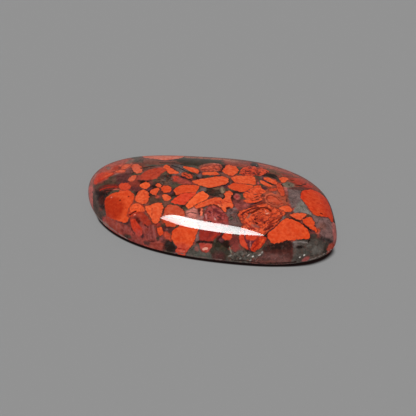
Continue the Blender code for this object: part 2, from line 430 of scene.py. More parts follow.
# Cloudy patches of the ground, which later ones cover: name, colour, softness in mm, outline
GROUND_PATCHES = [
    ("far_top_band", (103, 62, 52), 0.3, [
        (130, 160), (148, 158), (165, 161.5), (184, 159), (188, 163), (165, 166), (145, 168),
        (130, 166)]),
    ("far_green", (76, 64, 56), 0.4, blob(135, 161, 9, 2.8)),
    ("upper_left_brown", (92, 62, 54), 0.3, blob(148, 169.6, 9, 2.2, -12)),
    ("sliver_brown", (96, 58, 50), 0.2, blob(178, 176, 3.2, 2)),
    ("strip_left_green", (60, 55, 48), 0.2, blob(194.8, 176.4, 2.2, 2.6)),
    ("strip_left_lilac", (94, 78, 80), 0.2, blob(199.8, 176, 2.4, 1.8)),
    ("lozenge_gap", (122, 74, 62), 0.2, blob(224.5, 175.4, 5.5, 1.9, 18)),
    ("slab_gap", (90, 58, 52), 0.15, blob(230.6, 181.6, 2, 3)),
    ("far_olive_band", (52, 46, 35), 0.4, [
        (174, 160), (190, 156.5), (210, 157), (230, 159), (222, 163.5), (205, 165), (190, 166)]),
    ("far_grey_pocket", (84, 76, 74), 0.3, [
        (171, 164.6), (178, 164), (184, 166.4), (188, 170.6), (183, 171.8), (176, 170)]),
    ("far_mottled_ground", (140, 80, 66), 0.3, blob(210, 168, 11, 5, -4)),
    ("far_red_band", (122, 58, 46), 0.4, [
        (222, 160), (240, 160), (252, 162), (256, 168), (240, 167), (228, 165)]),
    ("crackled_gap", (178, 62, 46), 0.2, blob(256.6, 171.6, 1.6, 4)),
    # partly painted sheen: reddish ground of the far right, lightened for the polish's reflection
    # along the far rim
    ("far_right_red_and_sheen", (134, 62, 47), 0.4, [
        (256, 162), (275, 165), (292, 170), (310, 179), (322, 188), (312, 190), (292, 187),
        (276, 176), (258, 170)]),
    ("far_right_brown", (96, 66, 50), 0.3, [
        (264, 168.4), (272, 169.6), (280, 174), (284, 177), (276, 174.6), (266, 171.4)]),
    ("far_right_pink_a", (150, 74, 64), 0.3, blob(262.5, 165.8, 2.4, 1.4)),
    ("far_right_pink_b", (160, 76, 58), 0.3, blob(268.5, 166.8, 4.2, 1.6, 8)),
    ("far_right_pink_c", (168, 84, 70), 0.3, blob(287, 169.8, 6, 1.3, 22)),
    ("far_black", SOOT, 0.2, blob(254.6, 164.9, 4.6, 2.1, 14)),
    ("far_black_start", (112, 34, 28), 0.2, blob(249.4, 163, 1.6, 1.1, 20)),
    ("far_right_rust", (120, 50, 42), 0.3, blob(309, 188.4, 8, 1.6, 10)),
    ("far_black_lens", SOOT, 0.12, [
        (261, 175.2), (264.5, 173.5), (273.5, 173.8), (278.5, 178), (276.5, 179.5), (268, 176.8)]),
    ("far_black_tail", (52, 50, 44), 0.2, [
        (275, 177), (279, 179), (281, 183), (278, 182)]),
    ("far_blue_spot", (100, 70, 68), 0.2, blob(261.3, 177.7, 1.3, 2)),
    ("right_dark_seam", (112, 52, 46), 0.15, [
        (256.4, 178), (258.8, 179), (259, 185.4), (262.6, 187.6), (266, 190), (264, 190.6),
        (260, 188), (256.2, 185.4)]),
    ("right_crimson_spot", (172, 76, 72), 0.12, blob(258.4, 183.2, 1.0, 1.3)),
    ("far_rim_brown", (140, 84, 68), 0.4, [
        (184, 152), (200, 153), (218, 154.6), (238, 157), (238, 162), (218, 159.8), (200, 158.4),
        (186, 157.6)]),
    ("left_far_field", (172, 76, 60), 0.4, [
        (92.5, 184), (92, 178), (97, 170), (104, 164), (113, 160), (124, 157), (131, 158),
        (131, 168), (127, 172.5), (116, 174), (108, 178), (100, 183)]),
    # partly painted sheen: pinkish ground along the far left rim, lightened for the polish's
    # reflection there
    ("left_far_pink_and_sheen", (150, 86, 76), 0.3, [
        (90, 184), (94, 173), (102, 164.5), (112, 159.5), (124, 156), (130, 157), (118, 161),
        (106, 165), (97, 173), (93, 184)]),
    ("far_left_grey", (112, 84, 74), 0.3, blob(129.4, 161.8, 5, 2, -14)),
    ("left_far_pocket", (116, 88, 78), 0.25, blob(108.3, 168.6, 2.4, 1.7, -20)),
    ("left_far_pit", (112, 50, 42), 0.25, blob(119.2, 167.6, 1.8, 1.6)),
    ("left_far_gap", (118, 72, 68), 0.3, [
        (124, 171.6), (128, 168.6), (131, 168), (132.6, 172), (128, 174.4)]),
    ("left_far_shade", (74, 58, 47), 0.3, [
        (96, 187), (104, 181.5), (113, 176), (124, 173.5), (131, 174), (128, 179), (119, 183.5),
        (108, 188), (99, 192)]),
    ("left_far_maroon", (86, 48, 47), 0.35, [
        (116, 175.5), (124, 173.6), (130.5, 174.5), (128, 180), (119, 183), (115.5, 179.5)]),
    ("left_far_green", (96, 70, 60), 0.3, blob(113.4, 179, 2.2, 3.2, 10)),
    ("left_streak_field", (86, 38, 33), 0.3, [
        (97, 191), (99.5, 187), (106, 184.6), (118.6, 184.4), (118.6, 189), (110, 191), (103, 194)]),
    # painted sheen: the pale pink reflection of the polish at the left end's rim
    ("left_edge_painted_sheen", (212, 92, 84), 0.25, blob(91.2, 199.5, 2.4, 7)),
    ("cap_foot", (196, 66, 40), 0.12, blob(124.6, 190.4, 5, 1.5)),
    ("left_wine", (122, 52, 42), 0.3, blob(134.5, 184, 5.5, 3.8)),
    ("left_plum_gap", (86, 40, 40), 0.3, blob(135.5, 189, 6.5, 2.4)),
    ("left_night", (34, 18, 15), 0.35, [
        (95.5, 190), (103, 192.5), (106.5, 194), (105, 200), (104.5, 210), (100, 209),
        (96.5, 201)]),
    ("left_night_core", (62, 26, 22), 0.5, blob(100.8, 201, 2.6, 5)),
    ("left_grey_strip", (74, 58, 52), 0.3, [
        (92.6, 190), (96, 195), (98.5, 205), (101, 209.5), (106, 210.5), (106.5, 216), (105.6, 222),
        (100, 222), (95, 213), (92.5, 203)]),
    # painted sheen: the same pale pink reflection along the left rim
    ("left_rim_painted_sheen", (180, 96, 90), 0.25, [
        (88, 185), (92.3, 185), (92.6, 196), (93, 207), (90.5, 208), (87, 196)]),
    ("left_pink_spot", (142, 58, 58), 0.2, blob(103.5, 219.3, 1.5, 2.3)),
    ("left_front_veil", (142, 62, 54), 0.45, [
        (106, 216), (112, 220), (121, 224), (130, 225), (142, 222), (152, 226), (161, 237),
        (161, 251), (146, 248), (130, 242), (117, 235), (108, 228)]),
    ("left_veil_grey", (150, 98, 88), 0.3, blob(105.5, 225.5, 3, 3.2, 40)),
    ("left_cluster_ground", (184, 60, 40), 0.3, [
        (128, 216), (129, 209), (134, 203.5), (139, 203), (143, 208), (143, 213), (136, 215),
        (131, 217.5)]),
    ("left_gap_black", (84, 26, 20), 0.15, blob(137.3, 219.7, 1.9, 4.4, -38)),
    ("left_slate_spot", (90, 50, 46), 0.15, blob(128.6, 225, 1.5, 2.8, -15)),
    ("left_front_dark", (58, 44, 38), 0.3, blob(127.6, 236.6, 4, 2.6, 25)),
    ("near_left_brown", (74, 46, 44), 0.25, blob(147.2, 243, 3.6, 2.4, 10)),
    ("near_left_violet", (66, 34, 38), 0.2, blob(142.4, 235.7, 1.7, 2.9, 10)),
    ("near_red_gap", (140, 50, 42), 0.3, blob(157.5, 224.6, 4, 2.6)),
    ("near_left_shade", (58, 46, 40), 0.2, blob(158, 238.2, 1.9, 2.3)),
    ("near_left_mauve", (118, 62, 62), 0.25, blob(161.8, 238.2, 1.6, 2.3)),
    ("near_oxblood", (84, 40, 36), 0.25, blob(163.8, 245.6, 3.5, 4.6)),
    ("near_black", SOOT, 0.12, [
        (167, 240), (171, 240.2), (175, 245), (176, 249), (174, 251.8), (169, 252), (165.2, 249),
        (164.8, 244)]),
    ("middle_violet", (80, 40, 42), 0.25, blob(168.2, 229, 6, 3.4)),
    ("middle_violet_core", (118, 72, 66), 0.2, blob(167, 229.6, 1.6, 1.2)),
    ("middle_black_slot", (90, 32, 20), 0.1, blob(164.7, 208.6, 0.6, 2.6, 10)),
    ("upper_green", (84, 62, 52), 0.5, blob(167, 180, 10, 6)),
    ("upper_black", SOOT, 0.3, blob(168, 175.8, 4.4, 1.5)),
    ("upper_black_b", (66, 46, 40), 0.3, blob(154, 183.4, 2.6, 1.6, -30)),
    ("upper_green_stain", (74, 56, 50), 0.4, blob(161, 177, 3.2, 2.2, 25)),
    ("upper_fuzzy_red", (180, 62, 46), 0.2, blob(175.6, 178.6, 3.9, 2.8, 10)),
    ("upper_muted", (150, 64, 54), 0.25, [
        (177, 178), (184, 178.6), (190, 182), (190.6, 184.4), (182, 184.6), (177, 181.5)]),
    ("left_olive", (74, 54, 44), 0.3, [
        (149.5, 197), (153, 195.5), (157, 198), (161, 200.5), (160, 203), (154, 204),
        (149, 205.5)]),
    ("tooth_brown", (86, 56, 48), 0.2, blob(157.8, 193.4, 2.4, 3)),
    ("bowl_brown", (98, 62, 52), 0.25, blob(166.6, 203, 4.2, 2.6)),
    ("trowel_gap", (118, 54, 43), 0.25, [
        (142.6, 205), (146, 206), (149.4, 213), (152.4, 220), (153.4, 225), (149, 221), (146, 214)]),
    ("streak_tip_red", (168, 66, 45), 0.2, blob(162.8, 219.4, 1.8, 4.4)),
    ("small_dull_red", (176, 72, 52), 0.2, blob(157.6, 196.8, 1.7, 1.4)),
    ("left_violet", (110, 52, 50), 0.2, blob(143.5, 211, 2.2, 3.6, -15)),
    ("upper_lilac", (100, 84, 82), 0.25, blob(203, 189.3, 3.4, 2.3)),
    ("dark_window", (50, 40, 33), 0.12, [
        (206.6, 189.5), (212, 187.5), (220, 187.8), (221, 191), (220, 195.5), (214, 196.5),
        (209.5, 195), (206.5, 192.5)]),
    ("window_green", (104, 76, 60), 0.2, blob(216.4, 188.6, 3, 1.3)),
    ("window_stain", (52, 34, 28), 0.3, blob(212.6, 191, 2.6, 1.6)),
    ("window_sand", SAND, 0.25, blob(222.4, 190, 1.7, 3)),
    ("window_slate", (84, 66, 60), 0.2, blob(221.4, 195.8, 2.6, 1.7, 20)),
    ("right_black_gap", (46, 32, 30), 0.2, blob(238.5, 192.3, 6, 1.7, 5)),
    ("right_wine_field", (128, 62, 57), 0.4, [
        (232.5, 199), (238, 201.5), (244, 199), (250, 204), (248, 208), (241, 210.5), (236, 209),
        (233, 205)]),
    ("ring_eye", (164, 82, 74), 0.2, blob(237.2, 196.6, 3.0, 3.0)),
    ("ring_eye_inner", (132, 48, 46), 0.2, blob(237.2, 196.7, 1.8, 1.7)),
    ("right_pink_spot", (166, 82, 76), 0.2, blob(246, 205, 1.7, 1.5)),
    ("stripe_gap", (124, 44, 30), 0.15, [
        (250, 206.4), (253, 204.4), (258, 203.4), (262.6, 201), (264, 202), (260, 204),
        (254, 206.2)]),
    ("middle_pink_cloud", (176, 108, 98), 0.25, [
        (186.4, 211.5), (191, 208.4), (196.5, 208.6), (198, 213), (196.6, 219.6), (191, 218.4),
        (186.6, 216)]),
    ("middle_mauve", (148, 98, 94), 0.25, blob(200.8, 218, 3.4, 2.8)),
    ("middle_black_gap", (56, 30, 24), 0.12, blob(199, 210.2, 1.1, 2)),
    ("middle_ground", (92, 70, 68), 0.3, [
        (226.5, 209), (232, 208.5), (237, 210.5), (237.5, 216), (240, 222), (243, 227), (234, 227),
        (228, 225)]),
    ("middle_green_spot", (72, 72, 58), 0.2, blob(231, 218, 1.6, 1.4)),
    ("right_muted_field", (146, 70, 50), 0.3, [
        (263, 187.5), (269, 186.4), (277, 186), (285.6, 188), (288, 198), (288.5, 205.5),
        (281, 208.6), (273, 207), (266, 203), (263.6, 196)]),
    ("right_gap_a", (66, 40, 42), 0.2, blob(264.5, 188.4, 3.6, 1.8)),
    ("right_streaks", (134, 60, 46), 0.2, blob(263.8, 198.4, 1.9, 4)),
    ("right_fringe", (160, 88, 82), 0.25, blob(286, 190.5, 2, 4.2)),
    ("right_pocket", (122, 72, 62), 0.2, blob(275, 193.2, 2.6, 2.3)),
    ("right_pit", (50, 34, 30), 0.15, blob(286.8, 200.4, 0.9, 1.7)),
    ("right_lilac", (106, 90, 88), 0.25, [
        (288, 188), (294, 188.6), (300.5, 191), (301, 198), (301.5, 201), (297, 206), (292, 208),
        (289.6, 202), (288.4, 195)]),
    ("right_sage", (108, 98, 84), 0.2, [
        (283, 184), (287, 181.6), (293, 183.4), (294.6, 186.6), (290, 188), (284.6, 186.6)]),
    ("right_sage_dot", (58, 48, 42), 0.12, blob(289, 185, 0.8, 0.8)),
    ("right_maroon_streak", (86, 56, 52), 0.2, [
        (288, 188), (294, 186.6), (303, 187.6), (304, 189.6), (298, 190), (289, 189.4)]),
    ("right_triangle", (114, 110, 104), 0.12, [
        (301.3, 200.5), (305, 205), (311.4, 214.3), (304, 213.4), (293.6, 212.5), (296.4, 205.7)]),
    ("right_triangle_green", (102, 104, 92), 0.3, blob(302, 207, 1.8, 1.4)),
    ("right_crevice", (92, 54, 46), 0.15, blob(287.5, 214.8, 2.2, 3.4)),
    ("right_crevice_foot", (78, 54, 50), 0.2, blob(291.4, 212.6, 2.8, 1.8)),
    ("right_slate", (108, 84, 82), 0.35, [
        (312, 215.4), (320, 217), (329, 219), (334, 225), (335, 233), (334, 242), (326, 240),
        (318, 234), (315, 224)]),
    ("right_slate_pink", (106, 74, 68), 0.3, blob(322, 226, 4, 3.6, 35)),
    ("right_slate_foot", (52, 46, 46), 0.3, [
        (316, 234.6), (322, 235.4), (329, 238.6), (333, 241), (330, 243.6), (322, 240.4),
        (316, 238)]),
    ("right_fuzzy_dull", (104, 56, 50), 0.25, blob(318, 235.6, 2.8, 2.4)),
    ("right_fuzzy_red", (172, 74, 52), 0.25, blob(317.4, 230.8, 2.4, 2.4)),
    ("right_grey_corner", (68, 64, 60), 0.25, [
        (290.5, 243), (300, 240.5), (310, 239), (318, 239.6), (328, 243), (328, 250), (322, 257),
        (308, 264), (290.5, 266)]),
    ("right_corner_dark", (54, 48, 44), 0.25, blob(313.4, 236, 3.6, 2.8)),
    ("right_corner_lilac", (98, 90, 88), 0.35, blob(295, 245.4, 3.8, 2.6)),
    ("right_corner_slot", (30, 24, 22), 0.2, blob(300.6, 247, 5, 1.6)),
    ("right_corner_sand", (84, 82, 78), 0.4, blob(316, 250, 5.5, 4, -25)),
    ("right_corner_shade", (60, 60, 56), 0.3, blob(306, 252.6, 3.4, 1.8, -10)),
    ("right_corner_edge", (52, 48, 44), 0.2, [
        (325.6, 242), (327.6, 242.4), (327.4, 250), (325, 254), (323.6, 250)]),
    # painted sheen: the pale pink reflection of the polish along the right end's rim
    ("right_rim_painted_sheen", (166, 98, 94), 0.25, [
        (332.4, 222), (337, 224), (340, 235), (338, 248), (333.4, 246), (333, 234)]),
    ("front_speckled", (70, 66, 60), 0.3, [
        (229, 250), (240, 250), (250, 252), (258, 250.5), (264, 247), (266, 256), (252, 260),
        (252, 266), (236, 265), (226, 262)]),
    ("front_right_block", (70, 38, 34), 0.15, [
        (264, 247), (272, 244), (283, 240), (290.6, 239), (290.6, 266), (270, 266.5), (250, 265),
        (255, 258.6), (262, 255)]),
    ("front_right_black", (40, 27, 25), 0.5, [
        (264, 247), (270, 244), (283, 239), (290.6, 237), (290.6, 248), (280, 249.4), (266, 250)]),
    ("front_right_mottle", (95, 62, 58), 0.5, [
        (250, 262), (256, 257), (266, 254.4), (282, 255), (289, 257.4), (287, 264), (270, 267),
        (250, 266)]),
    ("front_plum_gap", (80, 42, 40), 0.15, blob(267.3, 240, 1.7, 4.4)),
    ("front_red_brown", (108, 50, 46), 0.3, [
        (231, 234), (239, 236), (240, 241), (239.6, 245.6), (237.4, 251), (233.6, 252), (231, 246.6),
        (229, 240)]),
    ("bowl_ground", (100, 42, 50), 0.12, [
        (243.6, 236), (258, 236), (257, 241), (252, 247), (251, 250.6), (248.2, 249), (245, 243)]),
    ("bowl_red_ground", (168, 44, 28), 0.12, blob(257.4, 238.6, 3, 2.2)),
    ("front_block", (50, 46, 37), 0.15, [
        (211, 247), (213, 243), (217, 242), (221, 244), (225, 246.8), (229, 250),
        (230, 253), (227, 258.5), (217, 262), (211, 260), (210, 251)]),
    ("front_block_foot", (72, 42, 40), 0.5, blob(218, 256.5, 7, 4.4)),
    ("front_lilac_strip", (114, 84, 82), 0.15, [
        (197, 230), (200, 231), (199.5, 240), (196, 243), (194, 241)]),
    ("front_black_band", (34, 20, 21), 0.12, [
        (195.6, 242), (199, 240.4), (205, 240.6), (213, 241.4), (213, 244), (204, 243), (197, 244.4)]),
    ("front_grey", (74, 76, 70), 0.25, [
        (187, 252), (194, 245), (199.5, 245), (202, 252), (210, 253), (212, 262), (198, 260),
        (186, 259)]),
    ("front_muted_spot", (120, 74, 68), 0.25, blob(197, 248.8, 2.1, 2.4)),
    ("right_garnet_fleck", (146, 80, 78), 0.12, [
        (302, 261), (304, 258), (307, 256.5), (309.3, 257), (308.5, 259.5), (306, 261.3)]),
]

# Where the ground is coarse and salt-and-pepper, in photo pixels
COARSE_GROUND = [
    blob(247, 257, 20, 7), blob(233, 217, 7, 9),
    blob(167, 180, 10, 6),
]

# Fine lines and spots on top of everything: name, colour, width in mm, line in photo pixels
STROKES = [
    # painted highlight: a pale line along the girdle's edge at the lower left, where the edge catches
    # the light
    ("painted_edge_highlight", (138, 114, 108), 0.22, [
        (91, 206), (93, 209.5), (95.5, 214), (100, 219.3), (105, 223.5), (110, 227.6), (115, 231.3),
        (120, 234.8), (126, 238.4), (132, 241.5)]),
    # painted highlight: the same pale edge line along the front
    ("painted_edge_highlight_front", (116, 92, 86), 0.16, [
        (138, 244.5), (150, 248.4), (165, 251.9), (180, 254.6), (195, 256.8), (210, 258.6),
        (222, 260)]),
    ("shaded_edge", (44, 26, 22), 0.22, [
        (232, 261.6), (245, 262.8), (260, 263.4), (274, 263.5), (286, 263), (296, 262)]),
    # painted highlight: the same pale edge line at the right end
    ("painted_edge_highlight_right", (146, 132, 126), 0.13, [
        (310, 259.6), (315, 258.2), (321, 255.8), (327, 252.6), (331.6, 249.2)]),
    ("lens_spot", (104, 44, 20), 0.5, [(291.2, 180.2), (293.4, 180.6)]),
    ("left_band_light", (216, 92, 62), 0.3, [(104, 177.2), (108, 175.3), (112, 173.6)]),
    ("veil_stripe_a", (152, 80, 74), 0.3, [(153, 226), (155.5, 238)]),
    ("veil_stripe_b", (116, 52, 48), 0.25, [(150.5, 225), (152.8, 238)]),
    ("veil_stripe_c", (108, 46, 42), 0.25, [(156, 227), (157.4, 236)]),
    ("giant_fold", (166, 44, 34), 0.25, [(178, 248.6), (181.4, 248.8), (185.2, 249.8)]),
    ("giant_fold_light", (214, 104, 84), 0.25, [(180, 251), (184.4, 251.4)]),
    ("bar_shade_a", (186, 62, 38), 0.35, [(215.4, 201.6), (218.6, 203.6)]),
    ("bar_shade_b", (150, 56, 44), 0.20, [(220.4, 201), (221.8, 205.4)]),
    ("bar_light", (226, 128, 92), 0.22, [(217.8, 204.6), (220, 206.2)]),
    ("bar_fold", (196, 62, 36), 0.30, [(224.6, 201), (229, 202.6)]),
    ("edge_dot", (66, 42, 40), 0.40, [(92.6, 192.2)]),
    ("veil_line_a", (104, 66, 50), 0.35, [(268, 168.6), (282, 172.6), (296, 177.4)]),
    ("veil_line_b", (164, 72, 52), 0.30, [(276, 169), (290, 173), (304, 179.4)]),
    ("veil_line_c", (100, 50, 38), 0.25, [(286, 176.4), (300, 177.8), (311, 183)]),
    ("eye_ring_a", (124, 42, 28), 0.20, [(266.4, 199.8), (267.4, 196.4), (271, 195), (276.4, 197.2)]),
    ("eye_ring_b", (116, 38, 28), 0.20, [(267.6, 201.8), (272.6, 204), (279, 205), (282.6, 203)]),
    ("eye_ring_c", (212, 96, 66), 0.25, [(264.8, 198), (266.6, 194.8), (271, 193.4), (277, 195)]),
    ("hook_shadow", (70, 26, 22), 0.4, [(227, 208.2), (229, 207.8)]),
    ("top_stripe_a", (124, 58, 50), 0.30, [(132, 162.8), (141, 163.6)]),
    ("top_stripe_b", (122, 74, 62), 0.30, [(150, 160.4), (163, 161.4), (176, 161)]),
    ("top_stripe_c", (84, 82, 72), 0.35, [(146, 165), (157, 165.6), (168, 163.8)]),
    ("top_stripe_d", (54, 40, 34), 0.30, [(141, 168.4), (150, 166.6), (160, 165.2)]),
    ("top_stripe_e", (72, 50, 42), 0.35, [(160, 162.6), (178, 163.4), (190, 160.6)]),
    ("top_stripe_f", SOOT, 0.22, [(172, 165.4), (179, 167.8), (186, 171.2), (194, 174.4)]),
    ("giant_speck_dark_a", SOOT, 0.30, [(119.8, 200.3)]),
    ("giant_speck_dark_b", OXBLOOD, 0.26, [(128.5, 196.5)]),
    ("giant_speck_pale", PINK, 0.30, [(111.3, 197.3)]),
    ("giant_split", (170, 54, 38), 0.18, [(135.4, 197.5), (133.5, 202), (131, 204.7)]),
    ("left_streak_a", (170, 44, 30), 0.30, [(100, 190.2), (105, 188.2), (111, 187), (118, 187)]),
    ("left_streak_b", (136, 38, 30), 0.20, [(103.6, 186.4), (110, 185.2), (116, 185.6)]),
    ("left_streak_dark", SOOT, 0.20, [(101.4, 192.2), (107, 190.3), (112, 190.2)]),
    ("left_streak_pale", (194, 98, 80), 0.18, [(112.6, 190), (116, 189.3), (119.4, 189.2)]),
    ("cluster_dark_a", (60, 22, 18), 0.28, [(132.8, 212.8), (135.6, 211.2)]),
    ("cluster_dark_b", OXBLOOD, 0.26, [(129.8, 214.6), (131.4, 213.8)]),
    ("cluster_pink", (224, 140, 118), 0.16, [(134, 215), (135.4, 214.4)]),
    ("cluster_red_line", GARNET, 0.16, [(140.5, 203.6), (143.2, 206.8)]),
    ("blade_shadow", OXBLOOD, 0.22, [(131.2, 228), (134.8, 234.4)]),
    ("veil_dark_a", (74, 36, 32), 0.25, [(144.5, 224.6), (148, 227.2)]),
    ("veil_dark_b", (92, 36, 32), 0.22, [(148, 241), (153, 241.6), (158, 240.8)]),
    ("trowel_crack", (176, 58, 38), 0.18, [(152.2, 208), (151.8, 215)]),
    ("sliver_line", (64, 26, 18), 0.24, [(183.5, 173.8), (189.5, 176.8)]),
    ("sliver_shadow", SOOT, 0.22, [(181, 176.4), (186, 178.6), (191, 180)]),
    ("strip_shadow", SOOT, 0.16, [(202.5, 176), (212, 176.3), (221, 175.6)]),
    ("mottled_stripe_a", (216, 96, 66), 0.26, [(203, 167.6), (210, 166.8), (217, 167.4)]),
    ("mottled_stripe_b", (110, 44, 38), 0.18, [(202, 169.6), (210, 169.4), (218, 169.6)]),
    ("mottled_stripe_c", (120, 60, 50), 0.18, [(205, 165.4), (212, 164.8), (219, 166)]),
    ("far_dark_band", (84, 38, 32), 0.20, [(219.5, 166), (221.5, 170), (221, 173)]),
    ("far_pale_band", PINK, 0.20, [(213.5, 163.4), (220.5, 164.6)]),
    ("lozenge_shadow", SOOT, 0.22, [(207, 188.4), (215, 187.4), (228, 184.4)]),
    ("ring_eye_core", (170, 60, 60), 0.30, [(237.6, 197)]),
    ("slab_line", BRICK, 0.14, [(233, 182.8), (243, 184.4)]),
    ("fan_crack_a", GARNET, 0.18, [(245, 191.8), (249.5, 190.8)]),
    ("fan_crack_b", (84, 26, 22), 0.24, [(254.5, 197.6), (262.6, 195)]),
    ("fan_crack_c", OXBLOOD, 0.20, [(252, 200.8), (259.5, 199)]),
    ("giant_arc_a", OXBLOOD, 0.28, [(241.8, 214.6), (246, 211.2), (252, 208.8), (258, 207.2)]),
    ("giant_arc_b", (104, 34, 18), 0.42, [
        (248.6, 213.6), (253, 212.2), (257, 209.9), (260.5, 207.8), (264.5, 207.4), (268.5, 209),
        (271, 211)]),
    ("giant_arc_c", (116, 36, 22), 0.32, [(276, 222.4), (278.5, 220.5), (281.4, 218)]),
    ("giant_arc_d", (128, 40, 26), 0.27, [(270, 222.6), (273, 220.4), (274.6, 219.2)]),
    ("giant_arc_e", (132, 44, 30), 0.22, [(267.6, 226.6), (271, 224.4), (275, 223.2)]),
    ("giant_arc_f", OXBLOOD, 0.24, [(263.6, 230.6), (268, 229), (273.4, 225.6)]),
    ("giant_arc_g", GARNET, 0.20, [(246, 222.5), (250, 226.4), (254.5, 228.8)]),
    ("giant_arc_h", (156, 50, 32), 0.18, [(262, 213.4), (266.4, 215.6), (271.6, 214.8)]),
    ("giant_spot_a", (70, 22, 18), 0.36, [(254.8, 219.4), (257, 218.8)]),
    ("giant_spot_b", OXBLOOD, 0.26, [(251.5, 222.3)]),
    ("giant_spot_c", (76, 28, 24), 0.34, [(255.6, 222.4), (257.4, 224)]),
    ("giant_spot_d", OXBLOOD, 0.26, [(264.2, 223.6), (265, 221.8)]),
    ("giant_spot_e", OXBLOOD, 0.18, [(259.6, 216.4), (261, 215)]),
    ("giant_spot_f", OXBLOOD, 0.22, [(262.6, 219.4)]),
    ("giant_pocket_a", (152, 92, 76), 0.30, [(250.6, 214), (249, 216), (247.4, 218)]),
    ("giant_pocket_b", (112, 44, 26), 0.40, [(252.6, 212.4), (254.4, 211.2)]),
    ("giant_pocket_c", (142, 76, 66), 0.50, [(255.4, 225.4), (258, 226.8)]),
    ("giant_pocket_d", (176, 92, 72), 0.40, [(252, 224.8), (254, 226.6)]),
    ("giant_pale_a", (214, 160, 142), 0.26, [(265.8, 210.9)]),
    ("giant_pale_b", (228, 146, 118), 0.28, [(266.4, 213.6), (268.4, 213.2)]),
    ("wedge_split", (104, 38, 28), 0.12, [(291.6, 217.4), (298.5, 221), (303.5, 224.6)]),
    ("wedge_split_dark", SOOT, 0.24, [(303.5, 224.6), (311, 231)]),
    ("boot_split", OXBLOOD, 0.18, [(308.5, 214.8), (304.5, 218.4)]),
    ("end_giant_dark", (120, 26, 18), 0.34, [(321, 213.4), (322.2, 213.8)]),
    ("end_giant_pale", CORAL, 0.26, [(320.7, 203.2)]),
    ("lens_shadow", SOOT, 0.22, [(295.4, 185.2), (300.5, 185.8), (306, 184)]),
    ("bowl_pink", (172, 98, 92), 0.26, [(250.4, 242), (250.4, 247)]),
    ("bowl_stroke_a", (140, 28, 18), 0.24, [(256, 241.6), (259.6, 239.4)]),
    ("bowl_stroke_b", (222, 84, 44), 0.30, [(263.6, 239.4), (260, 244.6)]),
    ("bowl_stroke_c", (150, 30, 20), 0.26, [(259, 242.8), (255.6, 246), (253.2, 249)]),
    ("garnet_diagonal", (64, 26, 24), 0.26, [(222.7, 234.6), (216.4, 240.4)]),
    ("garnet_glow", (174, 50, 34), 0.30, [(216.6, 234.2), (211.4, 238.6)]),
    ("pink_core", (226, 156, 136), 0.44, [(203.6, 249), (207, 248.6)]),
    ("block_line", (124, 114, 98), 0.20, [(229.6, 247.4), (231.4, 252.6)]),
    ("wine_dark_a", (98, 38, 42), 0.40, [(209.4, 211.2), (210.4, 213)]),
    ("wine_dark_b", (108, 42, 44), 0.50, [(214, 209.6), (219, 213)]),
    ("wine_dark_c", (94, 40, 42), 0.30, [(217.6, 216.6), (220.4, 218)]),
    ("wine_black", SOOT, 0.24, [(208, 221.4), (210.6, 221.8)]),
    ("wine_pale_a", (196, 150, 142), 0.22, [(214.6, 218.2), (215.2, 220.2)]),
    ("wine_pale_b", (184, 108, 104), 0.26, [(205.6, 214.4), (206.6, 219)]),
    ("cloud_crack", (92, 60, 54), 0.18, [(187, 213.4), (191, 212), (196, 213.6)]),
    ("corner_light_a", (122, 112, 108), 0.26, [(293, 242.4), (300, 241.6), (307, 242.8)]),
    ("corner_light_b", (98, 92, 86), 0.24, [(306, 246.6), (311, 244.8)]),
    ("corner_dark_line", SOOT, 0.20, [(310, 239.8), (306.6, 243.2)]),
    ("block_dash_a", (132, 92, 88), 0.14, [(266.6, 258.4), (268.6, 256.4)]),
    ("block_dash_b", (126, 86, 82), 0.12, [(270.4, 257.2), (272.6, 255.2)]),
    ("block_dash_c", (134, 92, 88), 0.14, [(274.4, 259.4), (277.4, 256.6)]),
    ("block_dash_d", (120, 80, 76), 0.12, [(278.6, 260), (281.4, 257.2)]),
    ("block_dash_e", (124, 84, 80), 0.12, [(281.6, 256.6), (283.6, 254.6)]),
    ("block_dash_f", (116, 76, 72), 0.12, [(284.6, 259.6), (286.6, 257.4)]),
    ("speck_a", PEARL, 0.18, [(252.3, 256.5), (253.4, 256.2)]),
    ("speck_b", PEARL, 0.18, [(258.4, 255.4), (260.4, 254.6)]),
    ("speck_c", PEARL, 0.18, [(261.6, 252.4), (263, 252)]),
    ("speck_d", PEARL, 0.16, [(247.6, 255.6), (249, 254.8)]),
    ("speck_e", PEARL, 0.30, [(299.8, 257)]),
    ("speck_f", PEARL, 0.24, [(304, 255.2), (305, 254.8)]),
    ("speck_g", (150, 144, 136), 0.18, [(240, 258.6), (242.4, 257.8)]),
    ("speck_h", (160, 150, 142), 0.16, [(249.4, 260.6), (251, 260)]),
    ("speck_i", (140, 130, 122), 0.20, [(228, 256.4), (231, 255.6)]),
]

# Tints, painted shade and sheen over the crisp fragments: colour, strength, outline in photo pixels
SHADE_AND_TINT_WASHES = [
    # painted shade: the left giant darker and redder towards the lower left, where the dome falls away
    ((184, 50, 24), 0.9, blob(112, 208, 13, 12, -20)),
    ((216, 80, 50), 0.6, blob(107, 174.5, 6, 3, -20)),
    ((186, 70, 60), 0.8, blob(139.5, 233, 4, 4.5)),
    # painted shade and sheen: the front fragment's foot darker, duller and pinker, as its slope turns
    # from the light
    ((200, 76, 60), 0.7, blob(181, 250, 9, 6, 0)),
    # painted shade: the right end giant darker towards the steep right end
    ((190, 52, 28), 0.4, blob(330, 210, 7, 13, -20)),
    ((220, 88, 44), 0.4, blob(318, 213, 7, 5, 15)),
    ((212, 74, 38), 0.5, blob(313, 199, 8, 7, 30)),
    (TANGERINE, 0.35, blob(158, 206, 6, 4, 0)),
    (VERMILION, 0.5, blob(308.5, 236.5, 2, 3, 0)),
    (SALMON, 0.4, blob(253, 229, 8, 3, 25)),
    ((210, 82, 52), 0.5, blob(214, 203, 9, 4, -10)),
    ((196, 66, 38), 0.45, blob(266, 219, 12, 9, -20)),
]


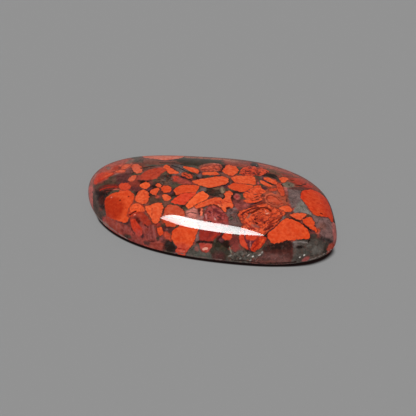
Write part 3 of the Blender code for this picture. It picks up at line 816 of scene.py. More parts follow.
def linear(colour):
    """The linear reflectance of a colour that was seen through the polish in the scene's light."""
    values = np.array(colour, float) / 255
    seen = np.where(values <= 0.04045, values / 12.92, ((values + 0.055) / 1.055) ** 2.4)
    return np.maximum(seen - POLISH_VEIL, LEAST_REFLECTANCE) / LIGHT_LEVEL


# The stone's form

def outline_points(angles):
    """Points of the outline, before it is sized, for angles round the stone."""
    radius = 1 - CORNER_FULLNESS * np.cos(4 * (angles - CORNER_TURN))
    radius = radius * (1 - END_DIFFERENCE * np.cos(3 * (angles - END_TURN)))
    x = STRETCH * radius * np.cos(angles)
    y = radius * np.sin(angles)
    return np.stack([
        x * math.cos(LEAN) - y * math.sin(LEAN),
        x * math.sin(LEAN) + y * math.cos(LEAN)], axis=-1)


def outline_fit():
    """Middle of the unsized outline, and what brings it to LENGTH by WIDTH."""
    points = outline_points(np.linspace(0, math.tau, FINE_STEPS))
    low, high = points.min(axis=0), points.max(axis=0)
    return (low + high) / 2, np.array([LENGTH, WIDTH]) / (high - low)


OUTLINE_MIDDLE, OUTLINE_SCALE = outline_fit()


def sized_outline(angles):
    """Points of the outline at the stone's real size."""
    return (outline_points(angles) - OUTLINE_MIDDLE) * OUTLINE_SCALE


def dome_height(share):
    """Height of the dome at a share of the way from its middle to the girdle."""
    rise = np.maximum(0, 1 - share ** DOME_FLATNESS) ** DOME_STEEPNESS
    return GIRDLE_HEIGHT + (HEIGHT - GIRDLE_HEIGHT) * rise


def ring_shares():
    """Shares of the way out for the dome's rings, evenly spaced along its section."""
    fine = np.sin(np.linspace(0, math.pi / 2, FINE_STEPS))
    middle_reach = (LENGTH + WIDTH) / 4
    steps = np.hypot(np.diff(fine) * middle_reach, np.diff(dome_height(fine)))
    walked = np.concatenate([[0], np.cumsum(steps)])
    return np.interp(np.linspace(0, walked[-1], RINGS + 1), walked, fine)


def edge_rings():
    """Inset and height of the rings between the dome's foot and the flat back's edge."""
    rings = []
    for i in range(1, ROUNDING_RINGS + 1):
        turn = math.pi / 2 * i / (ROUNDING_RINGS + 1)
        inset = GIRDLE_ROUNDING * (1 - math.cos(turn))
        rings.append((inset, GIRDLE_HEIGHT - GIRDLE_ROUNDING * math.sin(turn)))
    inset, height = rings[-1]
    for i in range(1, BEVEL_RINGS):
        share = i / BEVEL_RINGS
        rings.append((
            inset + (BACK_BEVEL_INSET - inset) * share,
            height * (1 - share)))
    return rings


def ring_start(k):
    """Index of the first point of ring k in a disc."""
    return 0 if k == 0 else 1 + SECTORS * k * (k - 1) // 2


def disc_faces(first, upward):
    """Triangles of a disc of rings whose points start at index first."""
    faces = []
    for k in range(1, RINGS + 1):
        outer, inner = first + ring_start(k), first + ring_start(k - 1)
        outer_count, inner_count = SECTORS * k, max(1, SECTORS * (k - 1))
        for sector in range(SECTORS):
            for j in range(k):
                a = outer + (sector * k + j) % outer_count
                b = outer + (sector * k + j + 1) % outer_count
                c = inner + (sector * (k - 1) + j) % inner_count
                faces.append((c, a, b) if upward else (c, b, a))
                if j < k - 1:
                    d = inner + (sector * (k - 1) + j + 1) % inner_count
                    faces.append((c, b, d) if upward else (c, d, b))
    return faces


def strip_faces(upper, lower, count):
    """Quads between two rings of count points."""
    return [
        (upper + i, lower + i, lower + (i + 1) % count, upper + (i + 1) % count)
        for i in range(count)]


def inset_ring(points, inset):
    """The outline's points moved towards the middle."""
    reach = np.hypot(points[:, 0], points[:, 1])[:, None]
    return points * (1 - inset / reach)


def stone_surface():
    """Points and faces of the whole stone: dome, girdle, bevel and flat back."""
    shares = ring_shares()
    rim_angles = math.tau * np.arange(SECTORS * RINGS) / (SECTORS * RINGS)
    rim = sized_outline(rim_angles)
    dome, back = [], []
    for k, share in enumerate(shares):
        count = max(1, SECTORS * k)
        ring = sized_outline(math.tau * np.arange(count) / count)
        heights = np.full((count, 1), dome_height(share))
        dome.append(np.hstack([ring * share, heights]))
        back_ring = inset_ring(ring, BACK_BEVEL_INSET) * (k / RINGS)
        back.append(np.hstack([back_ring, np.zeros((count, 1))]))
    edge = [
        np.hstack([inset_ring(rim, inset), np.full((len(rim), 1), height)])
        for inset, height in edge_rings()]
    dome_count = sum(len(ring) for ring in dome)
    edge_count = sum(len(ring) for ring in edge)
    points = np.vstack(dome + edge + back)
    faces = disc_faces(0, upward=True)
    back_first = dome_count + edge_count
    starts = [ring_start(RINGS)]
    starts += [dome_count + i * len(rim) for i in range(len(edge))]
    starts.append(back_first + ring_start(RINGS))
    for upper, lower in zip(starts, starts[1:]):
        faces += strip_faces(upper, lower, len(rim))
    faces += disc_faces(back_first, upward=False)
    return points, faces, back_first


def build_stone():
    """The stone as one closed mesh, and the index of the flat back's first point."""
    points, faces, back_first = stone_surface()
    mesh = bpy.data.meshes.new(STONE_NAME)
    mesh.from_pydata(points.tolist(), [], faces)
    mesh.shade_smooth()
    mesh.set_sharp_from_angle(angle=SHARP_ANGLE)
    stone = bpy.data.objects.new(STONE_NAME, mesh)
    bpy.context.scene.collection.objects.link(stone)
    bpy.context.view_layer.update()
    return stone, back_first


# The stone's skin unrolled: a flat map in millimetres, centred under the dome's top

RIM_ANGLES = np.linspace(0, math.tau, FINE_STEPS, endpoint=False)
RIM_POINTS = sized_outline(RIM_ANGLES)
RIM_DIRECTIONS = np.unwrap(np.arctan2(RIM_POINTS[:, 1], RIM_POINTS[:, 0]))
RIM_REACHES = np.hypot(RIM_POINTS[:, 0], RIM_POINTS[:, 1])
SHARES = np.sin(np.linspace(0, math.pi / 2, UNROLL_STEPS))


def rim_reach(direction):
    """How far the outline lies from the middle in a plan direction."""
    turned = RIM_DIRECTIONS[0] + (direction - RIM_DIRECTIONS[0]) % math.tau
    return np.interp(turned, RIM_DIRECTIONS, RIM_REACHES, period=math.tau)


def unroll(points):
    """Flat map of points on the dome or on the edge under it."""
    direction = np.arctan2(points[:, 1], points[:, 0])
    reach = rim_reach(direction)
    share = np.minimum(1, np.hypot(points[:, 0], points[:, 1]) / reach)
    drop = np.diff(dome_height(SHARES))
    walked = np.zeros(len(points))
    for low, high, fall in zip(SHARES, SHARES[1:], drop):
        part = np.clip((share - low) / (high - low), 0, 1)
        walked += part * np.hypot((high - low) * reach, fall)
    return np.stack([walked * np.cos(direction), walked * np.sin(direction)], axis=-1) / MILLIMETRE


def photo_axes():
    """The photograph's camera: its place, and its right, up and forward directions."""
    right = Vector((math.cos(PHOTO_AZIMUTH), math.sin(PHOTO_AZIMUTH), 0))
    away = Vector((-math.sin(PHOTO_AZIMUTH), math.cos(PHOTO_AZIMUTH), 0))
    forward = away * math.cos(PHOTO_ELEVATION) - Vector((0, 0, math.sin(PHOTO_ELEVATION)))
    aim = right * PHOTO_AIM_RIGHT + away * PHOTO_AIM_AWAY + Vector((0, 0, PHOTO_AIM_HEIGHT))
    return aim - forward * PHOTO_DISTANCE, right, right.cross(forward), forward


def photo_ray(x, y):
    """Direction from the photograph's camera through a pixel."""
    _, right, up, forward = photo_axes()
    depth = PHOTO_SIZE / 2 / math.tan(PHOTO_VIEW_ANGLE / 2)
    return (forward * depth + right * (x - PHOTO_SIZE / 2) - up * (y - PHOTO_SIZE / 2)).normalized()


def point_at(stone, x, y):
    """The stone's point that the photograph shows at a pixel, and whether the pixel is off it."""
    place = photo_axes()[0]
    middle_x, middle_y = STONE_MIDDLE_PIXEL
    for step in range(SEARCH_STEPS):
        share = step / SEARCH_STEPS
        ray = photo_ray(x + (middle_x - x) * share, y + (middle_y - y) * share)
        hit, point, _, _ = stone.ray_cast(place, ray)
        if hit:
            return point, step > 0
    raise ValueError(f"no point of the stone at pixel {x}, {y}")


def lay_on_stone(stone, pixels):
    """A line of photo pixels as points of the flat map."""
    found = [point_at(stone, x, y) for x, y in pixels]
    places = unroll(np.array([tuple(point) for point, _ in found]))
    away = Vector((-math.sin(PHOTO_AZIMUTH), math.cos(PHOTO_AZIMUTH)))
    for i, (point, off) in enumerate(found):
        if off:
            outward = places[i] / np.linalg.norm(places[i])
            wrap = WRAP_BEHIND if Vector(outward).dot(away) > 0 else WRAP_BELOW
            places[i] += outward * wrap
    return places


def rounded(points, roundness=1.0, steps=5):
    """A closed curve through points: 0 gives straight sides, and 1 a smooth curve."""
    before, after, next_after = (np.roll(points, shift, axis=0) for shift in (1, -1, -2))
    leave = roundness * (after - before) / 2
    arrive = roundness * (next_after - points) / 2
    curve = []
    for i in range(steps):
        t = i / steps
        blend = t * t * (3 - 2 * t)
        curve.append(
            points + (after - points) * blend
            + leave * t * (1 - t) ** 2 - arrive * t * t * (1 - t))
    return np.stack(curve, axis=1).reshape(-1, 2)


def line_distance(points, starts, ends):
    """Distance of each point from the nearest of several straight legs."""
    leg = ends - starts
    length = np.maximum((leg ** 2).sum(axis=1), TINY)
    offset = points[:, None] - starts
    along = np.clip((offset * leg).sum(axis=2) / length, 0, 1)
    return np.linalg.norm(offset - along[..., None] * leg, axis=2).min(axis=1)


def depth_inside(points, outline):
    """Distance from an outline, positive inside it."""
    starts, ends = outline, np.roll(outline, -1, axis=0)
    distance = line_distance(points, starts, ends)
    x, y = points[:, :1], points[:, 1:]
    straddles = (starts[:, 1] > y) != (ends[:, 1] > y)
    rise = ends[:, 1] - starts[:, 1]
    slope = (ends[:, 0] - starts[:, 0]) / np.where(rise == 0, TINY, rise)
    crossings = straddles & (x < starts[:, 0] + (y - starts[:, 1]) * slope)
    inside = crossings.sum(axis=1) % 2 == 1
    return np.where(inside, distance, -distance)


def near(points, outline, margin):
    """Indices of the points within a box round an outline."""
    low, high = outline.min(axis=0) - margin, outline.max(axis=0) + margin
    return np.flatnonzero(((points > low) & (points < high)).all(axis=1))


def smoothstep(values):
    """Soft step from 0 to 1."""
    t = np.clip(values, 0, 1)
    return t * t * (3 - 2 * t)


def noise_at(points, size, seed):
    """Smooth noise with features of a size in mm, from about -1 to 1."""
    shift = Vector([seed * part for part in NOISE_SHIFT])
    return np.array([noise.noise(Vector(p) / size + shift) for p in points]) * NOISE_GAIN


class Pattern:
    """What each point of the stone carries: the ground's colour and the fragments' layers."""

    def __init__(self, stone, back_first):
        mesh = stone.data
        count = len(mesh.vertices)
        self.stone = stone
        self.count = count
        place = np.empty(count * 3)
        mesh.vertices.foreach_get("co", place)
        normal = np.empty(count * 3)
        mesh.vertices.foreach_get("normal", normal)
        self.place = place.reshape(-1, 3) / MILLIMETRE
        self.normal = normal.reshape(-1, 3)
        self.flat = np.full((count, 2), FAR_AWAY)
        self.flat[:back_first] = unroll(self.place[:back_first] * MILLIMETRE)
        self.extend_over_edge(back_first)
        self.ground = np.zeros((count, 3))
        self.coarse = np.full(count, LEAST_COARSE)
        self.taken = np.full(count, -FAR_AWAY)
        self.layers = [self.empty_layer() for _ in range(LAYERS)]
        self.strokes = self.empty_layer()
        self.crowded = 0

    def extend_over_edge(self, back_first):
        """Carry the flat map on over the girdle and the bevel, ring by ring."""
        per_ring = SECTORS * RINGS
        first = ring_start(RINGS)
        for start in range(first + per_ring, back_first, per_ring):
            here, above = slice(start, start + per_ring), slice(start - per_ring, start)
            step = np.linalg.norm(self.place[here] - self.place[above], axis=1)
            outward = self.flat[above] / np.linalg.norm(self.flat[above], axis=1)[:, None]
            self.flat[here] = self.flat[above] + outward * step[:, None]

    def empty_layer(self):
        """A layer with no fragment in it."""
        return {
            "edge": np.full(self.count, FAR_OUTSIDE),
            "tint": np.zeros((self.count, 4)),
            "marks": np.zeros((self.count, 3)),
            "rim": np.zeros(self.count),
            "close": np.zeros(self.count, bool),
        }

    def add_fragment(self, index, depth, style, tint=None):
        """Lay a fragment in the first layer that has room for it."""
        depth = np.minimum(depth, -self.taken[index] - FRAGMENT_GAP)
        if not (depth > LEAST_DEPTH).any():
            return
        self.taken[index] = np.maximum(self.taken[index], depth)
        close = index[depth > -LAYER_MARGIN]
        clashes = [layer["close"][close].sum() for layer in self.layers]
        best = int(np.argmin(clashes))
        self.crowded += clashes[best] > 0
        layer = self.layers[best]
        layer["close"][close] = True
        wins = depth > layer["edge"][index]
        chosen = index[wins]
        layer["edge"][chosen] = depth[wins]
        layer["tint"][chosen, :3] = linear(style.colour) if tint is None else tint[wins]
        layer["tint"][chosen, 3] = style.softness
        layer["marks"][chosen] = (style.mottle, style.crackle, style.rings)
        layer["rim"][chosen] = style.rim


# Clouds of the natural ground: colour, size in mm, seed, and where the noise starts to show it
# and over how much of the noise it comes in
GROUND_CLOUDS = [
    (GREY_GREEN, 3.0, 1, 0.2, 0.5), (MAROON, 3.6, 2, -0.1, 0.4), (LILAC, 2.6, 3, 0.5, 0.4),
    (DUSTY_RED, 3.2, 4, 0.3, 0.3), (SOOT, 2.2, 5, 0.25, 0.3), (PLUM, 2.4, 6, 0.4, 0.3),
]


def paint_ground(pattern):
    """Natural ground everywhere: dark olive with clouds of maroon, lilac and soot."""
    pattern.ground[:] = linear(OLIVE)
    for colour, size, seed, threshold, fade in GROUND_CLOUDS:
        clouds = noise_at(pattern.place, size, seed)
        share = smoothstep((clouds - threshold) / fade)[:, None]
        pattern.ground += (linear(colour) - pattern.ground) * share


def paint_patches(pattern):
    """The ground's cloudy patches that the photograph shows, some of them painted sheen at the rim."""
    for _, colour, softness, pixels in GROUND_PATCHES:
        outline = rounded(lay_on_stone(pattern.stone, pixels))
        fade = 2 * softness
        index = near(pattern.flat, outline, fade)
        depth = depth_inside(pattern.flat[index], outline)
        waves = noise_at(pattern.place[index], PATCH_WOBBLE_SIZE, PATCH_WOBBLE_SEED)
        share = smoothstep((depth + PATCH_WOBBLE * waves * fade) / fade + 0.5)[:, None]
        pattern.ground[index] += (linear(colour) - pattern.ground[index]) * share
    for pixels in COARSE_GROUND:
        outline = lay_on_stone(pattern.stone, pixels)
        depth = depth_inside(pattern.flat, outline)
        pattern.coarse = np.maximum(pattern.coarse, smoothstep(depth + 0.5))


def lay_fragments(pattern):
    """The crisp fragments that the photograph shows."""
    # tints, painted shade and painted sheen laid over the fragments
    washes = []
    for colour, strength, pixels in SHADE_AND_TINT_WASHES:
        washes.append((linear(colour), strength, rounded(lay_on_stone(pattern.stone, pixels))))
    for _, style_name, pixels in FRAGMENTS:
        style = STYLES[style_name]
        outline = rounded(lay_on_stone(pattern.stone, pixels), FRAGMENT_ROUNDNESS)
        index = near(pattern.flat, outline, FIELD_MARGIN)
        depth = depth_inside(pattern.flat[index], outline)
        tint = np.tile(linear(style.colour), (len(index), 1))
        for colour, strength, patch in washes:
            within = depth_inside(pattern.flat[index], patch)
            share = smoothstep(within / WASH_SOFTNESS + 0.5)[:, None]
            tint += (colour - tint) * share * strength
        pattern.add_fragment(index, depth, style, tint)


def lay_strokes(pattern):
    """Fine lines and spots that the photograph shows, painted highlights and painted shade among them.
    """
    layer = pattern.strokes
    for _, colour, width, pixels in STROKES:
        line = lay_on_stone(pattern.stone, pixels)
        starts = line[:-1] if len(line) > 1 else line
        ends = line[1:] if len(line) > 1 else line
        index = near(pattern.flat, line, width + STROKE_MARGIN)
        depth = width / 2 - line_distance(pattern.flat[index], starts, ends)
        wins = depth > layer["edge"][index]
        chosen = index[wins]
        layer["edge"][chosen] = depth[wins]
        layer["tint"][chosen, :3] = linear(colour)
        layer["tint"][chosen, 3] = STROKE_SOFTNESS


# Fragments where the photograph doesn't show the stone

# How many are tried of each size, and their least and greatest radius in mm
HIDDEN_SIZES = [(70, 1.7, 2.5), (220, 1.0, 1.5), (900, 0.45, 0.85)]
# How often each style comes, and how often a place stays bare ground
HIDDEN_STYLES = [
    ("orange", 24), ("ember", 24), ("vermilion", 14), ("tangerine", 9), ("rust", 8), ("coral", 5),
    ("garnet", 3), ("brick", 5), ("crackled", 3), ("ringed", 4), ("streaked", 5),
    ("crackled_wine", 3), ("cloudy_red", 8), (None, 20),
]
HIDDEN_FACING = 0.05                  # what faces the camera less than this is hidden
HIDDEN_RISE = 5                       # mm of depth for each unit that it faces less
HIDDEN_WANDER = 0.6                   # how far the hidden part's border wanders
HIDDEN_WANDER_SIZE = 1.6
HIDDEN_WANDER_SEED = 21
HIDDEN_MARGIN = 0.4                   # how far outside that border fragments still start
CELL_SQUEEZE = (0.78, 1.0, 1.0)       # makes the fragments longer along the stone
CELL_BEND = 0.22                      # how far their faces are bent
CELL_BEND_SIZE = 1.3
CELL_BEND_SEEDS = (31, 32, 33)
CENTRE_SCATTER = 0.35                 # how far a centre lies off the skin, as a share of the radius
CENTRE_SPACING = 0.78                 # least distance of two centres, as a share of both radii
CUTS = 4                              # flat cuts that shape a fragment
CUT_DEPTHS = (0.62, 1.0)              # where they lie, as a share of the radius
GAPS = (0.03, 0.16)                   # how far a fragment keeps from the cell's border
FULL_REACH = 1.3                      # a fragment's farthest point, as a share of the radius
NEIGHBOUR_REACH = 4


def hidden_depth(pattern):
    """How far a point lies within what the photograph doesn't show, in mm."""
    back = -np.array(photo_axes()[3])
    facing = pattern.normal @ back
    wander = HIDDEN_WANDER * noise_at(pattern.place, HIDDEN_WANDER_SIZE, HIDDEN_WANDER_SEED)
    return (HIDDEN_FACING - facing) * HIDDEN_RISE + wander


def scatter_seeds(rng, places):
    """Seeds of the hidden fragments, large ones first, none of them crowded."""
    centres, radii = np.empty((0, 3)), np.empty(0)
    for count, least, most in HIDDEN_SIZES:
        for _ in range(count):
            radius = rng.uniform(least, most)
            centre = places[rng.integers(len(places))]
            centre = centre + rng.normal(0, CENTRE_SCATTER * radius, 3)
            if len(radii):
                apart = np.linalg.norm(centres - centre, axis=1)
                if (apart < CENTRE_SPACING * (radii + radius)).any():
                    continue
            centres = np.vstack([centres, centre])
            radii = np.append(radii, radius)
    return centres, radii


def lay_hidden_fragments(pattern):
    """Close-fitting broken pieces on the far side and the back, cut from solid cells."""
    rng = np.random.default_rng(RANDOM_SEED)
    room = hidden_depth(pattern)
    hidden = np.flatnonzero(room > -HIDDEN_MARGIN)
    bend = [noise_at(pattern.place, CELL_BEND_SIZE, seed) for seed in CELL_BEND_SEEDS]
    places = pattern.place * np.array(CELL_SQUEEZE) + CELL_BEND * np.stack(bend, axis=1)
    centres, radii = scatter_seeds(rng, places[hidden])
    names = [name for name, _ in HIDDEN_STYLES]
    weights = np.array([weight for _, weight in HIDDEN_STYLES], float)
    for i in np.argsort(-radii):
        style_name = names[rng.choice(len(names), p=weights / weights.sum())]
        facets = rng.normal(size=(CUTS, 3))
        facets /= np.linalg.norm(facets, axis=1)[:, None]
        cuts = rng.uniform(*CUT_DEPTHS, CUTS) * radii[i]
        gap = rng.uniform(*GAPS)
        if style_name is None:
            continue
        full = FULL_REACH * radii[i]
        index = hidden[np.linalg.norm(places[hidden] - centres[i], axis=1) < full + FIELD_MARGIN]
        offset = places[index] - centres[i]
        own = (offset ** 2).sum(axis=1) - radii[i] ** 2
        depth = full - np.linalg.norm(offset, axis=1)
        for normal, cut in zip(facets, cuts):
            depth = np.minimum(depth, cut - offset @ normal)
        distances = np.linalg.norm(centres - centres[i], axis=1)
        for j in np.flatnonzero(distances < full + NEIGHBOUR_REACH):
            if j != i:
                other = ((places[index] - centres[j]) ** 2).sum(axis=1) - radii[j] ** 2
                apart = np.linalg.norm(centres[j] - centres[i])
                depth = np.minimum(depth, (other - own) / (2 * apart))
        depth = np.minimum(depth - gap, room[index])
        pattern.add_fragment(index, depth, STYLES[style_name])


# Writing the pattern on the mesh

BEVEL_DULLNESS = 0.5                  # how dull the bevel is, with 0 for polished and 1 for the back
BEVEL_FROM_RING = 2                   # rings from the dome's foot to where that starts


def write_attribute(mesh, name, kind, values):
    """One value for each point of the mesh."""
    attribute = mesh.attributes.new(name, kind, "POINT")
    field = {"FLOAT": "value", "FLOAT_VECTOR": "vector", "FLOAT_COLOR": "color"}[kind]
    attribute.data.foreach_set(field, np.ascontiguousarray(values, np.float32).ravel())


def write_pattern(pattern, back_first):
    """The ground, every layer, and where the stone is ground dull instead of polished."""
    mesh = pattern.stone.data
    ground = np.hstack([pattern.ground, pattern.coarse[:, None]])
    write_attribute(mesh, "ground", "FLOAT_COLOR", ground)
    for k, layer in enumerate(pattern.layers + [pattern.strokes]):
        write_attribute(mesh, f"edge_{k}", "FLOAT", layer["edge"])
        write_attribute(mesh, f"tint_{k}", "FLOAT_COLOR", layer["tint"])
    for k, layer in enumerate(pattern.layers):
        write_attribute(mesh, f"marks_{k}", "FLOAT_VECTOR", layer["marks"])
        write_attribute(mesh, f"rim_{k}", "FLOAT", layer["rim"])
    bevel_first = ring_start(RINGS) + BEVEL_FROM_RING * SECTORS * RINGS
    dullness = np.zeros(pattern.count)
    dullness[bevel_first:back_first] = BEVEL_DULLNESS
    dullness[back_first:] = 1
    write_attribute(mesh, "backness", "FLOAT", dullness)


# The map that the exported model's colours are laid on

MAP_NAME = "OFBake"
MAP_MARGIN = 0.008                    # free room round the map's two islands, as a share of it
BACK_MAP_SHARE = 0.62                 # the flat back's scale on it, as a share of the dome's


def write_map(pattern, back_first):
    """Dome, girdle and bevel as one island, and the flat back as another one above it."""
    mesh = pattern.stone.data
    corners = np.empty(len(mesh.loops), np.int32)
    mesh.loops.foreach_get("vertex_index", corners)
    per_ring = SECTORS * RINGS
    over_edge = pattern.flat.copy()
    above, below = slice(back_first - per_ring, back_first), slice(pattern.count - per_ring, None)
    step = np.linalg.norm(pattern.place[below] - pattern.place[above], axis=1)
    outward = over_edge[above] / np.linalg.norm(over_edge[above], axis=1)[:, None]
    over_edge[below] = over_edge[above] + outward * step[:, None]
    back_corners = 3 * SECTORS * RINGS ** 2
    dome = over_edge[corners[:-back_corners]]
    back = pattern.place[corners[-back_corners:], :2] * BACK_MAP_SHARE
    low, high = dome.min(axis=0), dome.max(axis=0)
    size = high - low
    full = max(size[0], size[1] + np.ptp(back[:, 1])) / (1 - 3 * MAP_MARGIN)
    dome = (dome - low) / full + MAP_MARGIN
    back = (back - back.min(axis=0) + (0, size[1])) / full + (MAP_MARGIN, 2 * MAP_MARGIN)
    layer = mesh.uv_layers.new(name=MAP_NAME)
    layer.uv.foreach_set("vector", np.vstack([dome, back]).astype(np.float32).ravel())


# Material

class Nodes:
    """Short calls that add shader nodes and link them."""

    def __init__(self, tree):
        self.tree = tree

    def add(self, kind, inputs=None, **settings):
        """A node with its inputs set to values or linked to sockets."""
        node = self.tree.nodes.new(kind)
        for name, value in settings.items():
            setattr(node, name, value)
        for key, value in (inputs or {}).items():
            socket = node.inputs[key]
            if isinstance(value, bpy.types.NodeSocket):
                self.tree.links.new(value, socket)
            else:
                socket.default_value = value
        return node

    def attribute(self, name):
        return self.add("ShaderNodeAttribute", attribute_name=name)

    def math(self, operation, a, b=0.0):
        return self.add("ShaderNodeMath", {0: a, 1: b}, operation=operation).outputs[0]

    def product(self, *values):
        """Several values multiplied."""
        result = values[0]
        for value in values[1:]:
            result = self.math("MULTIPLY", result, value)
        return result

    def vector(self, operation, inputs, output=0):
        return self.add("ShaderNodeVectorMath", inputs, operation=operation).outputs[output]

    def mix_colour(self, share, a, b, blend="MIX"):
        """Colour a with a share of colour b laid on it."""
        node = self.add("ShaderNodeMix", {0: share, 6: a, 7: b}, data_type="RGBA", blend_type=blend)
        return node.outputs[2]

    def tinted(self, colour, tint):
        """A colour multiplied by a tint."""
        return self.mix_colour(1.0, colour, tint, "MULTIPLY")

    def mix_vector(self, share, a, b):
        return self.add("ShaderNodeMix", {0: share, 4: a, 5: b}, data_type="VECTOR").outputs[1]

    def mix_value(self, share, a, b):
        return self.add("ShaderNodeMix", {0: share, 2: a, 3: b}, data_type="FLOAT").outputs[0]

    def scaled(self, colour, factor):
        """A colour made lighter or darker by a factor."""
        return self.vector("SCALE", {0: colour, "Scale": factor})

    def ramp(self, value, low, high, out_low=0.0, out_high=1.0):
        """A soft step from out_low to out_high while a value goes from low to high."""
        node = self.add(
            "ShaderNodeMapRange",
            {"Value": value, "From Min": low, "From Max": high, "To Min": out_low, "To Max": out_high},
            interpolation_type="SMOOTHSTEP")
        return node.outputs[0]

    def noise(self, place, size, detail):
        """Noise with features of a size in mm."""
        return self.add(
            "ShaderNodeTexNoise",
            {"Vector": place, "Scale": 1 / (size * MILLIMETRE), "Detail": detail}).outputs["Fac"]

    def cells(self, place, scale, feature="F1"):
        """Small cells, so many to the metre: their own colours, or the distance to their edge."""
        return self.add(
            "ShaderNodeTexVoronoi", {"Vector": place, "Scale": scale}, feature=feature).outputs


# Fine noises that the parts of the material share
Texture = namedtuple("Texture", "place warped wobble mottle grain stain")

# The size in mm and the detail of each noise
WOBBLE_NOISE = (0.45, 5.0)
MOTTLE_NOISE = (0.8, 3.0)
GRAIN_NOISE = (0.22, 2.0)
STAIN_NOISE = (3.2, 1.0)
CLOUD_NOISE = (1.3, 3.0)
UNEVEN_NOISE = (0.5, 5.0)
FLECK_NOISE = (0.3, 3.0)

# Between which values a noise or a distance brings something in
WOBBLE_RANGE = (0.25, 0.75)
CLOUD_RANGE = (0.3, 0.7)
SEAM_RANGE = (0.05, 0.0)
SEAM_PLACES = (0.4, 0.6)
GRAIN_RANGE = (0.28, 0.72)
MOTTLE_RANGE = (0.45, 0.72)
STAIN_RANGE = (0.45, 0.7)
FRECKLE_RANGE = (0.60, 0.74)
UNEVEN_RANGE = (0.34, 0.66)
FLECK_RANGE = (0.68, 0.78)
CRACK_RANGE = (0.20, 0.04)
CRACK_PLACES = (0.36, 0.56)
RING_RANGE = (0.55, 0.98)
SPECK_CHOICE = (0.93, 0.96)
SPECK_RANGE = (0.28, 0.16)
DULL_RANGE = (0.2, 1.0)

# How strong that is at most
CLOUD_SHADES = (0.74, 1.26)
GRAIN_SPREAD = (0.10, 0.38)           # in the finest and in the coarsest ground
SEAM_STRENGTH = 0.6
STAIN_STRENGTH = 0.7
FRECKLE_STRENGTH = 0.7
FLECK_STRENGTH = 0.6
SPECK_STRENGTH = 0.6

EDGE_WOBBLE = 0.12                    # how far fragments' edges wander, in mm
WARP_SCALE = 1400.0                   # waves to the metre that bend cells and cracks
WARP_REACH = 0.0005
CRUMBS_PER_METRE = 2600.0
SEAM_CELLS_PER_METRE = 620.0
CRACK_CELLS_PER_METRE = 1700.0
SPECKS_PER_METRE = 1400.0
RIM_REACH = (-0.24, -0.03)            # where the dark line outside a fragment's edge comes in, in mm
RING_TURN = 11.0                      # radians of the rings' wave for each mm inward
RING_START = 0.5                      # and at the fragment's edge
STROKE_EDGE = 0.07
STROKE_WOBBLE = 0.5                   # how much of the fragments' wobble the strokes have
POLISHED_ROUGHNESS = 0.035
GROUND_ROUGHNESS = 0.34               # of the flat back
STONE_IOR = 1.54

# Linear colours of the pattern's fine parts, and tints that colours are multiplied by
GROUND_WARMTH = (1.30, 1.20, 1.17, 1)
SEAM_DARK = (0.014, 0.009, 0.008, 1)
RIM_DARK = (0.030, 0.010, 0.008, 1)
CRACK_DARK = (0.085, 0.014, 0.012, 1)
RING_DARK = (0.16, 0.02, 0.015, 1)
FLECK_RED = (0.22, 0.022, 0.014, 1)
SPECK_PALE = (0.45, 0.42, 0.38, 1)
REDDER_TINT = (0.72, 0.50, 0.52, 1)
PALER_TINT = (1.08, 1.20, 1.14, 1)
DARKER_TINT = (0.90, 0.70, 0.58, 1)
BRIGHTER_TINT = (1.03, 1.22, 1.38, 1)
# Crumbs in coarse ground: which random value of a crumb picks them, where that starts and ends,
# how strong they are, and their colour
CRUMB_KINDS = [
    ("Red", 0.74, 0.84, 0.30, (0.26, 0.062, 0.036, 1)),
    ("Green", 0.70, 0.85, 0.50, (0.016, 0.011, 0.009, 1)),
    ("Blue", 0.78, 0.90, 0.32, (0.17, 0.15, 0.13, 1)),
]


def shared_textures(nodes):
    """The noises that more than one part of the stone's material uses."""
    place = nodes.add("ShaderNodeTexCoord").outputs["Object"]
    waves = nodes.add("ShaderNodeTexNoise", {"Vector": place, "Scale": WARP_SCALE}).outputs["Color"]
    return Texture(
        place=place,
        warped=nodes.vector("ADD", {0: place, 1: nodes.scaled(waves, WARP_REACH)}),
        wobble=nodes.ramp(
            nodes.noise(place, *WOBBLE_NOISE), *WOBBLE_RANGE, -EDGE_WOBBLE, EDGE_WOBBLE),
        mottle=nodes.noise(place, *MOTTLE_NOISE),
        grain=nodes.noise(place, *GRAIN_NOISE),
        stain=nodes.noise(place, *STAIN_NOISE))


def ground_colour(nodes, texture):
    """The ground: clouds, crumbs of other stone, dark seams and grain."""
    carried = nodes.attribute("ground")
    coarse = carried.outputs["Alpha"]
    cloud = nodes.ramp(nodes.noise(texture.place, *CLOUD_NOISE), *CLOUD_RANGE, *CLOUD_SHADES)
    colour = nodes.scaled(nodes.tinted(carried.outputs["Color"], GROUND_WARMTH), cloud)
    crumbs = nodes.cells(texture.warped, CRUMBS_PER_METRE)
    kinds = nodes.add("ShaderNodeSeparateColor", {0: crumbs["Color"]}).outputs
    for kind, low, high, strength, tint in CRUMB_KINDS:
        share = nodes.product(nodes.ramp(kinds[kind], low, high, 0.0, strength), coarse)
        colour = nodes.mix_colour(share, colour, tint)
    seams = nodes.cells(texture.warped, SEAM_CELLS_PER_METRE, "DISTANCE_TO_EDGE")["Distance"]
    seams = nodes.product(
        nodes.ramp(seams, *SEAM_RANGE), nodes.ramp(texture.mottle, *SEAM_PLACES), SEAM_STRENGTH)
    colour = nodes.mix_colour(seams, colour, SEAM_DARK)
    spread = nodes.mix_value(coarse, *GRAIN_SPREAD)
    grain = nodes.product(nodes.ramp(texture.grain, *GRAIN_RANGE, -1.0, 1.0), spread)
    return nodes.scaled(colour, nodes.math("ADD", grain, 1.0))


